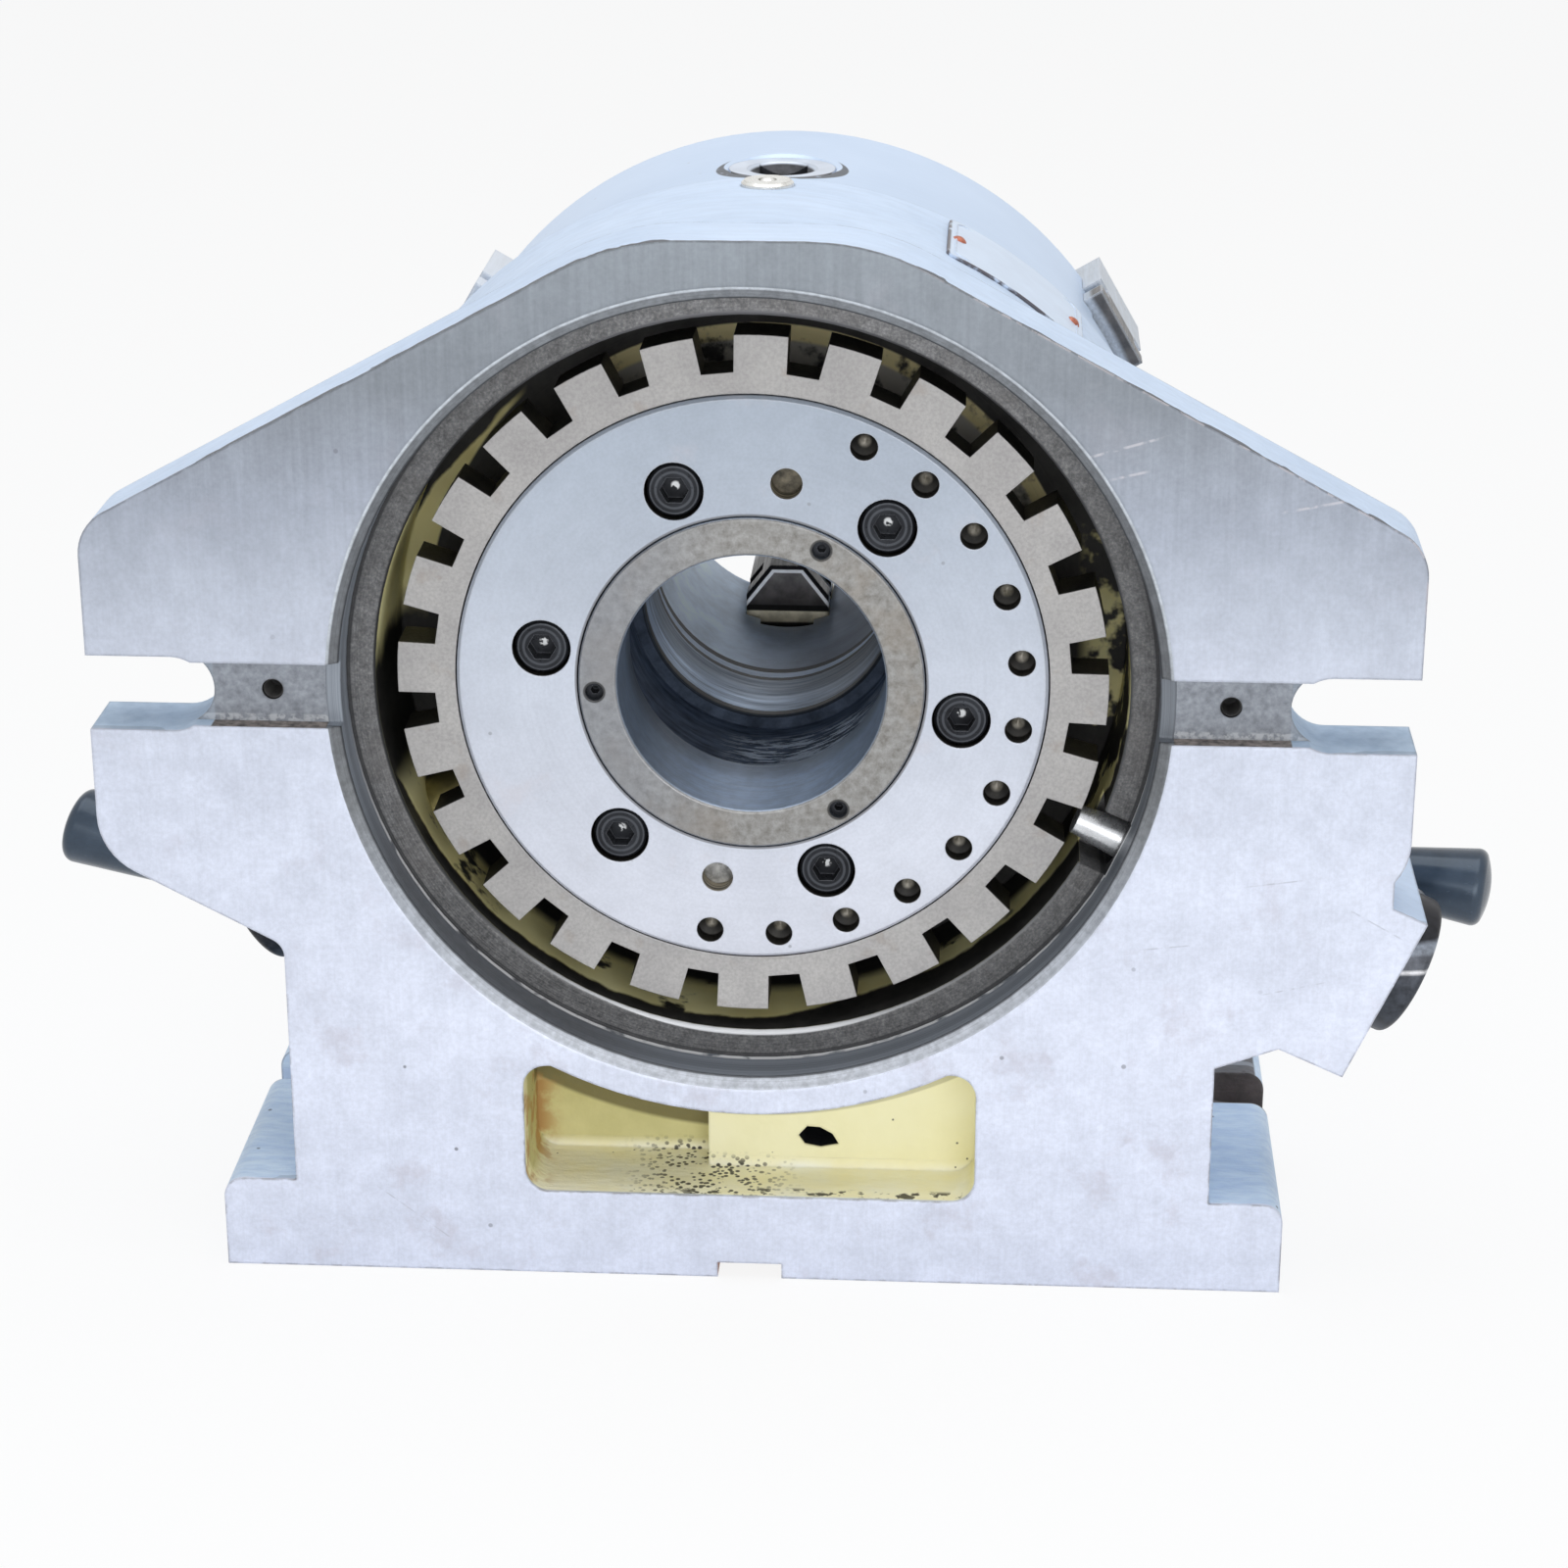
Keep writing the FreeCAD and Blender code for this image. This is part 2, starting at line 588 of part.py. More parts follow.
def knob(root, direction, length):
    """A tapered knob from its root along a direction, with a shallow dome on its wide end."""
    w = V(direction).normalize()
    ref = V(0, 1, 0) if abs(w.y) < 0.9 else V(1, 0, 0)
    e = w.cross(ref).normalize()
    straight = length - knob_dome
    root_r = knob_tip_r - straight * math.tan(math.radians(knob_taper))
    dome_r = (knob_tip_r ** 2 + knob_dome ** 2) / (2 * knob_dome)
    centre = root + w * (length - dome_r)
    half = math.asin(knob_tip_r / dome_r) / 2
    rim = root + w * straight + e * knob_tip_r
    mid = centre + w * (dome_r * math.cos(half)) + e * (dome_r * math.sin(half))
    crown = root + w * length
    pts = [root, root + e * (root_r - 0.8), root + e * root_r + w * 0.8, rim]
    edges = [Part.makeLine(pts[i], pts[i + 1]) for i in range(3)]
    edges.append(Part.Arc(rim, mid, crown).toShape())
    edges.append(Part.makeLine(crown, root))
    solid = Part.Face(Part.Wire(edges)).revolve(root, w, 360)
    if solid.Volume < 0:
        solid.reverse()
    centre_line = root + w * straight
    rings = [k for k in solid.Edges if (k.BoundBox.Center - centre_line).Length < 0.01]
    edge = [k for k in rings if k.Length > knob_tip_r]
    return solid.makeFillet(knob_edge, edge)


swing = math.radians(arm_swing)
arm_base = at(index_angle, arm_u, 0, plunger_y)
arm_side = arm_reach * math.sin(swing)
arm_to = at(index_angle, arm_u + arm_out, arm_side, plunger_y + arm_reach * math.cos(swing))
arm_dir = (arm_to - arm_base).normalize()
arm_from = arm_base + arm_dir * arm_root
arm_len = (arm_to - arm_from).Length
tilt = math.radians(knob_tilt)
lean = math.radians(knob_lean)
grip_dir = at(index_angle, math.cos(tilt), math.sin(tilt), 0) - at(index_angle, 0, 0, 0)
grip_dir = grip_dir * math.cos(lean) - V(0, math.sin(lean), 0)
socket = rod(arm_from, arm_dir, arm_r + seat_gap, arm_len)
save(lever_hub.cut(socket), "lever_hub")
save(rod(arm_from, arm_dir, arm_r, arm_len), "lever_arm")
save(knob(arm_to - grip_dir * knob_overhang, grip_dir, knob_len).cut(socket), "lever_knob")

# Spindle clamp
pad_from = hub_r + clamp_pad_gap
pad = rod(at(clamp_angle, pad_from, 0, clamp_y), clamp_dir, clamp_screw_r, clamp_pad_len + shelf_r - pad_from)
save(pad, "clamp_pad")
screw_from = shelf_r + clamp_pad_len + clamp_pad_gap
clamp_hub_from = clamp_boss_end + hub_gap
clamp_hub = rod(at(clamp_angle, clamp_hub_from, 0, clamp_y), clamp_dir, hub_disc_r, hub_disc_thick)
clamp_spot = at(clamp_angle, clamp_hub_from + hub_disc_thick, 0, clamp_y)
outer_edge = [e for e in clamp_hub.Edges if (e.BoundBox.Center - clamp_spot).Length < 0.01]
clamp_hub = clamp_hub.makeFillet(1.6, outer_edge)
clamp_hub = clamp_hub.fuse(rod(at(clamp_angle, screw_from, 0, clamp_y), clamp_dir, clamp_screw_r,
                               clamp_hub_from - screw_from))
rise = math.radians(clamp_arm_rise)
back = math.radians(clamp_arm_back)
clamp_arm_dir = at(clamp_angle, math.cos(rise), -math.sin(rise), 0) - at(clamp_angle, 0, 0, 0)
clamp_arm_dir = clamp_arm_dir * math.cos(back) + V(0, math.sin(back), 0)
clamp_arm_from = at(clamp_angle, clamp_hub_from + hub_disc_thick * 0.6, 0, clamp_y)
clamp_grip = clamp_arm_len - clamp_knob_len
clamp_rod = clamp_grip + knob_socket
clamp_socket = rod(clamp_arm_from, clamp_arm_dir, arm_r + seat_gap, clamp_rod)
save(clamp_hub.cut(clamp_socket), "clamp_hub")
save(rod(clamp_arm_from, clamp_arm_dir, arm_r, clamp_rod), "clamp_arm")
grip = knob(clamp_arm_from + clamp_arm_dir * clamp_grip, clamp_arm_dir, clamp_knob_len)
save(grip.cut(clamp_socket), "clamp_knob")

# Chuck body
body_outline = [(chuck_bore_r, chuck_back), (cavity_in_r, chuck_back), (cavity_in_r, slot_floor)]
body_outline += [(cavity_out_r, slot_floor), (cavity_out_r, chuck_back), (chuck_r - chuck_edge, chuck_back)]
body_outline += [(chuck_r, chuck_back + chuck_edge), (chuck_r, chuck_front - chuck_edge)]
body_outline += [(chuck_r - chuck_edge, chuck_front), (chuck_bore_r, chuck_front)]
body = turned(body_outline)
body_cuts = []
side = jaw_width / 2 + jaw_gap
neck = jaw_width / 2 - guide_depth
rib_from = slot_floor + guide_from
rib_to = rib_from + guide_width
long_r = chuck_r + 5
for a in jaw_angles:
    whole = [(0, slot_floor - 1), (long_r, slot_floor - 1), (long_r, chuck_front + 1), (0, chuck_front + 1)]
    slot = bar(a, whole, -side, side)
    rib = [(0, rib_from), (long_r + 1, rib_from), (long_r + 1, rib_to), (0, rib_to)]
    slot = slot.cut(bar(a, rib, neck + jaw_gap, side + 1))
    slot = slot.cut(bar(a, rib, -side - 1, -neck - jaw_gap))
    body_cuts.append(slot)
    way_low = slot_floor - thread_height - 2 * scroll_gap
    way = [(0, way_low), (long_r, way_low), (long_r, slot_floor), (0, slot_floor)]
    body_cuts.append(bar(a, way, -tooth_width / 2 - 0.5, tooth_width / 2 + 0.5))
pinion_angles = [a + 180.0 for a in jaw_angles]
pinion_depth = chuck_back + pinion_y
keeper_depth = chuck_back + keeper_y
for a in pinion_angles:
    start = at(a, cavity_out_r - 2, 0, pinion_depth)
    body_cuts.append(rod(start, along(a), pinion_r + bush_gap, long_r - cavity_out_r))
    body_cuts.append(Part.makeCone(pinion_r, pinion_mouth_r + 1.5, pinion_mouth_r - pinion_r + 1.5,
                                   at(a, chuck_r - (pinion_mouth_r - pinion_r), 0, pinion_depth), along(a)))
    body_cuts.append(rod(at(a, chuck_r - keeper_len - 1, keeper_x, keeper_depth), along(a), keeper_r,
                         keeper_len + 6))
for k in range(bolt_count):
    a = 360.0 / bolt_count * k
    body_cuts.append(rod(at(a, bolt_pcr, 0, chuck_back - 1), V(0, 1, 0), bolt_r + 0.5, chuck_thick + 2))
    body_cuts.append(rod(at(a, bolt_pcr, 0, chuck_front - bolt_sink_depth), V(0, 1, 0), bolt_sink_r,
                         bolt_sink_depth + 1))
for r in face_groove_r:
    body_cuts.append(tube(r + face_groove_width, r, chuck_front - face_groove_depth, chuck_front + 1))
for shape in body_cuts:
    body = body.cut(shape)
save(body, "chuck_body")
save(tube(cavity_out_r - 2 * seat_gap, cavity_in_r + 2 * seat_gap, chuck_back, chuck_back + cover_thick),
     "chuck_cover")
bolts = []
bolt_head_y = chuck_front - bolt_sink_depth + bolt_head_h
bolt_len = chuck_thick - bolt_sink_depth + bolt_grip
for k in range(bolt_count):
    head = at(360.0 / bolt_count * k, bolt_pcr, 0, bolt_head_y)
    bolts.append(cap_screw(head, V(0, -1, 0), bolt_r, bolt_head_r, bolt_head_h, bolt_len, screw_hex))
save(Part.Compound(bolts), "chuck_bolts")

# Scroll with its spiral thread
scroll_r = cavity_out_r - 2 * bush_gap
scroll = tube(scroll_r, cavity_in_r + 2 * bush_gap, scroll_back, scroll_back + scroll_thick)


def spiral(shift):
    """Points on the spiral thread, moved outwards by shift."""
    steps = int(thread_turns * 48)
    out = []
    for i in range(steps + 1):
        turn = thread_turns * i / steps
        r = thread_from_r + thread_pitch * turn + shift
        g = 2 * math.pi * turn
        out.append(V(r * math.cos(g), scroll_back + scroll_thick, axis_height + r * math.sin(g)))
    return out


low = spiral(-thread_width / 2)
high = spiral(thread_width / 2)
low_curve = Part.BSplineCurve()
low_curve.interpolate(low)
high_curve = Part.BSplineCurve()
high_curve.interpolate(high)
edges = [low_curve.toShape(), Part.makeLine(low[-1], high[-1])]
edges += [high_curve.toShape(), Part.makeLine(high[0], low[0])]
ridge = Part.Face(Part.Wire(Part.__sortEdges__(edges))).extrude(V(0, thread_height, 0))
scroll = scroll.fuse(ridge).removeSplitter()
save(scroll, "scroll")

# Jaws
jaw_back = slot_floor + scroll_gap
for n, a in enumerate(jaw_angles):
    tops = [chuck_front + h for h in jaw_heights]
    profile = [(jaw_tip, jaw_back), (jaw_end, jaw_back), (jaw_end, tops[2]), (jaw_step_r[1], tops[2])]
    profile += [(jaw_step_r[1], tops[1]), (jaw_step_r[0], tops[1]), (jaw_step_r[0], tops[0])]
    profile += [(jaw_tip, tops[0])]
    jaw = bar(a, profile, -jaw_width / 2, jaw_width / 2)
    groove_low = rib_from - scroll_gap
    groove_high = rib_to + scroll_gap
    for s in (-1, 1):
        strip = [(jaw_tip - 1, groove_low), (jaw_end + 1, groove_low), (jaw_end + 1, groove_high)]
        strip += [(jaw_tip - 1, groove_high)]
        v0 = s * neck
        v1 = s * (jaw_width / 2 + 1)
        jaw = jaw.cut(bar(a, strip, min(v0, v1), max(v0, v1)))
        wide = s * (jaw_width / 2 + 1)
        corner = [(jaw_tip, s * jaw_tip_flat / 2), (jaw_tip + jaw_bevel, s * jaw_width / 2)]
        corner += [(jaw_tip + jaw_bevel, wide), (jaw_tip - 1, wide), (jaw_tip - 1, s * jaw_tip_flat / 2)]
        jaw = jaw.cut(slab(a, corner, jaw_back - 1, tops[0] + 1))
    teeth = []
    turn = (a % 360.0) / 360.0
    first = thread_from_r + thread_pitch * (turn + 0.5)
    while first > jaw_tip + jaw_bevel + tooth_thick + thread_pitch + 14:
        first -= thread_pitch
    r = first + thread_pitch
    while r < jaw_end - tooth_thick:
        low_y = jaw_back - thread_height + scroll_gap
        block = [(r - tooth_thick / 2, low_y), (r + tooth_thick / 2, low_y), (r + tooth_thick / 2, jaw_back)]
        block += [(r - tooth_thick / 2, jaw_back)]
        teeth.append(bar(a, block, -tooth_width / 2, tooth_width / 2))
        r += thread_pitch
    save(jaw.fuse(teeth).removeSplitter(), "jaw_%d" % (n + 1))

# Chuck pinions and their keepers
keepers = []
for n, a in enumerate(pinion_angles):
    w = along(a)
    top = chuck_r - pinion_sink
    head_from = cavity_out_r + 0.5
    pinion = rod(at(a, head_from, 0, pinion_depth), w, pinion_r, top - head_from)
    cone = Part.makeCone(pinion_cone_small, pinion_cone_big, head_from - pinion_inner,
                         at(a, pinion_inner, 0, pinion_depth), w)
    pinion = pinion.fuse(cone)
    mouth_at = at(a, top, 0, pinion_depth)
    pinion = pinion.cut(prism_on(mouth_at, w * -1, 4, pinion_square, pinion_square_depth))
    lead = pinion_lead_r - pinion_square / 2
    pinion = pinion.cut(Part.makeCone(pinion_lead_r, pinion_square / 2, lead, mouth_at, w * -1))
    save(pinion, "pinion_%d" % (n + 1))
    keeper = rod(at(a, chuck_r - keeper_len - 1, keeper_x, keeper_depth), w, keeper_r - seat_gap, keeper_len)
    slot_at = at(a, chuck_r - 1, keeper_x, keeper_depth)
    keepers.append(keeper.cut(prism_on(slot_at, w * -1, 6, keeper_r * 0.9, keeper_len * 0.5)))
save(Part.Compound(keepers), "pinion_screws")

# Nameplate
plate_pts = [V(drum_r, plate_from_y, axis_height), V(drum_r + plate_thick, plate_from_y, axis_height)]
plate_pts += [V(drum_r + plate_thick, plate_to_y, axis_height), V(drum_r, plate_to_y, axis_height)]
plate_face = Part.Face(Part.makePolygon(plate_pts + [plate_pts[0]]))
plate_face.rotate(V(0, 0, axis_height), V(0, 1, 0), -plate_from_angle)
plate = plate_face.revolve(V(0, 0, axis_height), V(0, 1, 0), -(plate_to_angle - plate_from_angle))
corners = [e for e in plate.Edges if abs(e.Length - plate_thick) < 0.01]
save(plate.makeFillet(plate_corner_r, corners), "nameplate")
rivets = []
inset = math.degrees(rivet_inset / drum_r)
rivet_y = (plate_from_y + plate_to_y) / 2
dome_r = (rivet_r ** 2 + rivet_rise ** 2) / (2 * rivet_rise)
for a in (plate_from_angle + inset, plate_to_angle - inset):
    top = drum_r + plate_thick + rivet_rise
    dome = Part.makeSphere(dome_r, at(a, top - dome_r, 0, rivet_y))
    cutter = rod(at(a, drum_r + plate_thick, 0, rivet_y), along(a), rivet_r * 2, rivet_rise * 2)
    rivets.append(dome.common(cutter))
save(Part.Compound(rivets), "nameplate_rivets")
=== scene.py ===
import math
import bpy
import numpy as np
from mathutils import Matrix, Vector


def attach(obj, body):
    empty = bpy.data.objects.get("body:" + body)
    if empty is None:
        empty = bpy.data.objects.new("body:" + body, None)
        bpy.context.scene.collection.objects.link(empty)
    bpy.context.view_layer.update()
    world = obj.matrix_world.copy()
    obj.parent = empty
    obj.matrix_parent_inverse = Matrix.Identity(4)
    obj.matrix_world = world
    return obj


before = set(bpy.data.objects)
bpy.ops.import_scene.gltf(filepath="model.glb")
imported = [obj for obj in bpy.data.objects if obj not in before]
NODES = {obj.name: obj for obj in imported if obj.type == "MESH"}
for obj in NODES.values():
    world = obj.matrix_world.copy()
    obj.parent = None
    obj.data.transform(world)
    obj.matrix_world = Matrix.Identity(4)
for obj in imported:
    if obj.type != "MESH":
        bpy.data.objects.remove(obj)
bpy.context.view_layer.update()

# Rotary indexing table seen from its rear face: a pale painted casting with one machined face, a notched
# index ring and ground disc in a dark recess, a three-jaw chuck behind, and two black lever knobs.
# Finishes measure in millimetres from the piece's own origin. Meshes and lamps are in metres.
MM = 0.001
SPINDLE_Z = 152.4
CASTING_TOP = 263.3
KEY_HOLE_X = 114.0
KEY_HOLE_R = 2.58
JAW_TIP_R = 17.0
JAW_TIP_HALF = 4.8
JAW_TIP_SLOPE = 1.2836


class Finish:
    """A material built up from the piece's own Object coordinates. Each method gives back a node socket."""

    def __init__(self, name):
        self.material = bpy.data.materials.new(name)
        self.material.use_nodes = True
        self.tree = self.material.node_tree
        self.tree.nodes.clear()
        self.shader = self.add("ShaderNodeBsdfPrincipled")
        out = self.add("ShaderNodeOutputMaterial")
        self.tree.links.new(self.shader.outputs["BSDF"], out.inputs["Surface"])
        self.place = self.add("ShaderNodeTexCoord").outputs["Object"]
        in_mm = self.add("ShaderNodeVectorMath", operation="SCALE")
        self.tree.links.new(self.place, in_mm.inputs[0])
        in_mm.inputs["Scale"].default_value = 1.0 / MM
        split = self.add("ShaderNodeSeparateXYZ")
        self.tree.links.new(in_mm.outputs[0], split.inputs[0])
        self.x, self.y, self.z = split.outputs
        self.up = self.sum("SUBTRACT", self.z, SPINDLE_Z)
        self.r = self.length(self.x, self.up)

    def add(self, kind, **settings):
        node = self.tree.nodes.new(kind)
        for key, value in settings.items():
            setattr(node, key, value)
        return node

    def feed(self, socket, value):
        """Links a socket, or sets a plain number or colour."""
        if isinstance(value, bpy.types.NodeSocket):
            self.tree.links.new(value, socket)
        elif isinstance(value, tuple) and len(value) == 3 and socket.type == "RGBA":
            socket.default_value = (*value, 1.0)
        else:
            socket.default_value = value

    def sum(self, kind, a, b=0.0, c=0.0):
        """One step of arithmetic on numbers."""
        node = self.add("ShaderNodeMath", operation=kind)
        for socket, value in zip(node.inputs, (a, b, c)):
            self.feed(socket, value)
        return node.outputs[0]

    def both(self, a, *more):
        for b in more:
            a = self.sum("MULTIPLY", a, b)
        return a

    def either(self, a, *more):
        for b in more:
            a = self.sum("MAXIMUM", a, b)
        return a

    def without(self, a):
        return self.sum("SUBTRACT", 1.0, a)

    def length(self, a, b):
        """The length of a flat vector with sides a and b."""
        return self.sum("SQRT", self.sum("MULTIPLY_ADD", a, a, self.both(b, b)))

    def rise(self, value, low, high, start=0.0, end=1.0):
        """Goes smoothly from start to end as value goes from low to high, and is level outside."""
        node = self.add("ShaderNodeMapRange", interpolation_type="SMOOTHSTEP")
        names = ("Value", "From Min", "From Max", "To Min", "To Max")
        for name, number in zip(names, (value, low, high, start, end)):
            self.feed(node.inputs[name], number)
        return node.outputs[0]

    def within(self, value, low, high, soft=0.2):
        """One between low and high, and nothing outside."""
        start = self.rise(value, low - soft, low + soft)
        return self.both(start, self.rise(value, high - soft, high + soft, 1.0, 0.0))

    def spot(self, x, z, reach, soft=0.2):
        """One inside a round zone about a line along Y through x and z."""
        away = self.length(self.sum("SUBTRACT", self.x, x), self.sum("SUBTRACT", self.z, z))
        return self.rise(away, reach - soft, reach + soft, 1.0, 0.0)

    def nearest(self, count, pitch_r, first):
        """Distance to the nearest of count places set evenly round the spindle, by the law of cosines."""
        step = 2 * math.pi / count
        turn = self.sum("SUBTRACT", self.sum("ARCTAN2", self.up, self.x), math.radians(first))
        turn = self.sum("COSINE", self.sum("WRAP", turn, step / 2, -step / 2))
        square = self.sum("MULTIPLY_ADD", self.r, self.r, pitch_r * pitch_r)
        square = self.sum("SUBTRACT", square, self.both(self.r, turn, 2 * pitch_r))
        return self.sum("SQRT", self.sum("MAXIMUM", square, 0.0))

    def spoke(self, count, first):
        """Distances along and across the nearest of count spokes set evenly round the spindle."""
        step = 2 * math.pi / count
        turn = self.sum("SUBTRACT", self.sum("ARCTAN2", self.up, self.x), math.radians(first))
        turn = self.sum("WRAP", turn, step / 2, -step / 2)
        across = self.sum("ABSOLUTE", self.both(self.r, self.sum("SINE", turn)))
        return self.both(self.r, self.sum("COSINE", turn)), across

    def scratch(self, start, end, width):
        """A thin straight mark on a face across Y, between two (x, z) points, fading at its ends."""
        run = math.dist(start, end)
        ux, uz = (end[0] - start[0]) / run, (end[1] - start[1]) / run
        dx, dz = self.sum("SUBTRACT", self.x, start[0]), self.sum("SUBTRACT", self.z, start[1])
        along = self.sum("MULTIPLY_ADD", dx, ux, self.both(dz, uz))
        across = self.sum("ABSOLUTE", self.sum("MULTIPLY_ADD", dx, uz, self.both(dz, -ux)))
        faded = self.within(along, 0.0, run, run * 0.15)
        return self.both(faded, self.rise(across, width * 0.3, width, 1.0, 0.0))

    def turned(self, across, depth):
        """Coordinates for lathe marks: fine along the radius and the depth, and long round the axis."""
        flat = self.add("ShaderNodeCombineXYZ")
        self.feed(flat.inputs[0], self.both(self.r, across))
        self.feed(flat.inputs[1], self.both(self.y, depth))
        return flat.outputs[0]

    def noise(self, scale, detail=3.0, stretch=(1, 1, 1), rough=0.55, at=None, shift=(0, 0, 0)):
        """Cloudy noise with that many features a metre, drawn out along an axis by a small stretch."""
        mapping = self.add("ShaderNodeMapping")
        self.tree.links.new(at or self.place, mapping.inputs["Vector"])
        mapping.inputs["Location"].default_value = shift
        mapping.inputs["Scale"].default_value = stretch
        node = self.add("ShaderNodeTexNoise")
        self.tree.links.new(mapping.outputs[0], node.inputs["Vector"])
        node.inputs["Scale"].default_value = scale
        node.inputs["Detail"].default_value = detail
        node.inputs["Roughness"].default_value = rough
        return node.outputs["Fac"]

    def lathe(self, across, depth, detail=3.0):
        """Fine rings round the spindle, with that many marks a millimetre along the radius and the depth."""
        return self.noise(1, detail, at=self.turned(across, depth))

    def specks(self, scale, size, shift=(0, 0, 0)):
        """Small round marks scattered at random, with that many cells a metre."""
        mapping = self.add("ShaderNodeMapping")
        self.tree.links.new(self.place, mapping.inputs["Vector"])
        mapping.inputs["Location"].default_value = shift
        node = self.add("ShaderNodeTexVoronoi")
        self.tree.links.new(mapping.outputs[0], node.inputs["Vector"])
        node.inputs["Scale"].default_value = scale
        return self.rise(node.outputs["Distance"], size * 0.6, size, 1.0, 0.0)

    def mix(self, share, a, b):
        """Colour a where share is nothing, and b where it is one."""
        node = self.add("ShaderNodeMix", data_type="RGBA")
        self.feed(node.inputs["Factor"], share)
        self.feed(node.inputs["A"], a)
        self.feed(node.inputs["B"], b)
        return node.outputs["Result"]

    def shade(self, colour, amount):
        """A colour made lighter or darker by a number."""
        node = self.add("ShaderNodeVectorMath", operation="SCALE")
        self.feed(node.inputs[0], colour)
        self.feed(node.inputs["Scale"], amount)
        return node.outputs[0]

    def tone(self, share, *stops):
        """A colour from a row of (place, colour) stops."""
        node = self.add("ShaderNodeValToRGB")
        self.feed(node.inputs[0], share)
        row = node.color_ramp.elements
        while len(row) < len(stops):
            row.new(0.5)
        for element, (place, colour) in zip(row, stops):
            element.position = place
            element.color = (*colour, 1.0)
        return node.outputs[0]

    def mottle(self, share, dark, light):
        """A cloudy colour between two tones."""
        return self.tone(share, (0.32, dark), (0.68, light))

    def edge(self, width):
        """A rounded normal, and the share of a sharp edge: how far that normal leaves the true one."""
        bevel = self.add("ShaderNodeBevel", samples=4)
        bevel.inputs["Radius"].default_value = width * MM
        true = self.add("ShaderNodeNewGeometry")
        dot = self.add("ShaderNodeVectorMath", operation="DOT_PRODUCT")
        self.tree.links.new(bevel.outputs[0], dot.inputs[0])
        self.tree.links.new(true.outputs["Normal"], dot.inputs[1])
        return bevel.outputs[0], self.rise(dot.outputs["Value"], 0.80, 0.99, 1.0, 0.0)

    def bump(self, height, depth, normal=None):
        """Raises the surface by height times depth, in millimetres."""
        node = self.add("ShaderNodeBump")
        node.inputs["Strength"].default_value = 1.0
        node.inputs["Distance"].default_value = depth * MM
        self.feed(node.inputs["Height"], height)
        if normal is not None:
            self.tree.links.new(normal, node.inputs["Normal"])
        return node.outputs[0]

    def done(self, colour, rough, metal=0.0, normal=None, **plain):
        """Puts colour, roughness, metal and normal on the shader, and gives back the material."""
        self.feed(self.shader.inputs["Base Color"], colour)
        self.feed(self.shader.inputs["Roughness"], rough)
        self.feed(self.shader.inputs["Metallic"], metal)
        if normal is not None:
            self.tree.links.new(normal, self.shader.inputs["Normal"])
        for name, value in plain.items():
            self.shader.inputs[name.replace("_", " ")].default_value = value
        return self.material


def pale_paint(f):
    """Pale blue-white paint over rough iron, duller and rippled on the foot flanges and in the ear slots."""
    paint = f.mottle(f.noise(32, 5), (0.61, 0.73, 0.91), (0.68, 0.80, 0.98))
    brushed = f.noise(1, 4, stretch=(60, 330, 330), shift=(2, 5, 1))
    paint = f.shade(paint, f.rise(brushed, 0.30, 0.70, 0.96, 1.03))
    ripple = f.noise(1, 3, stretch=(150, 520, 520))
    foot_top = f.both(f.within(f.z, 18.5, 25.5), f.rise(f.y, 0.4, 1.0))
    paint = f.mix(foot_top, paint, f.mottle(ripple, (0.58, 0.72, 0.91), (0.74, 0.87, 1.0)))
    paint = f.mix(f.both(foot_top, f.specks(150, 0.10), 0.8), paint, (0.10, 0.11, 0.14))
    ear_slot = f.both(f.within(f.up, -9.8, 9.8), f.rise(f.sum("ABSOLUTE", f.x), 127.0, 127.6))
    paint = f.mix(ear_slot, paint, f.mottle(f.noise(260, 4), (0.44, 0.56, 0.70), (0.58, 0.70, 0.84)))
    right_foot = f.rise(f.x, 112.4, 112.9)
    foot_slot = f.both(right_foot, f.within(f.y, 57.6, 76.4), f.rise(f.z, 24.8, 24.4))
    beside = f.both(right_foot, f.rise(f.y, 75.4, 76.0), f.rise(f.y, 96.0, 88.0), f.within(f.z, 23.2, 25.5))
    # Painted shade and dirt: the slot in the right foot and the foot top beyond it are made near black.
    slot_dirt_and_shade = f.mottle(f.noise(140, 4), (0.020, 0.017, 0.018), (0.075, 0.060, 0.060))
    paint = f.mix(f.either(foot_slot, f.both(beside, 0.93)), paint, slot_dirt_and_shade)
    paint = f.mix(f.both(beside, f.within(f.y, 81.0, 83.4, 0.4), 0.8), paint, (0.30, 0.32, 0.36))
    return paint, f.both(foot_top, ripple)


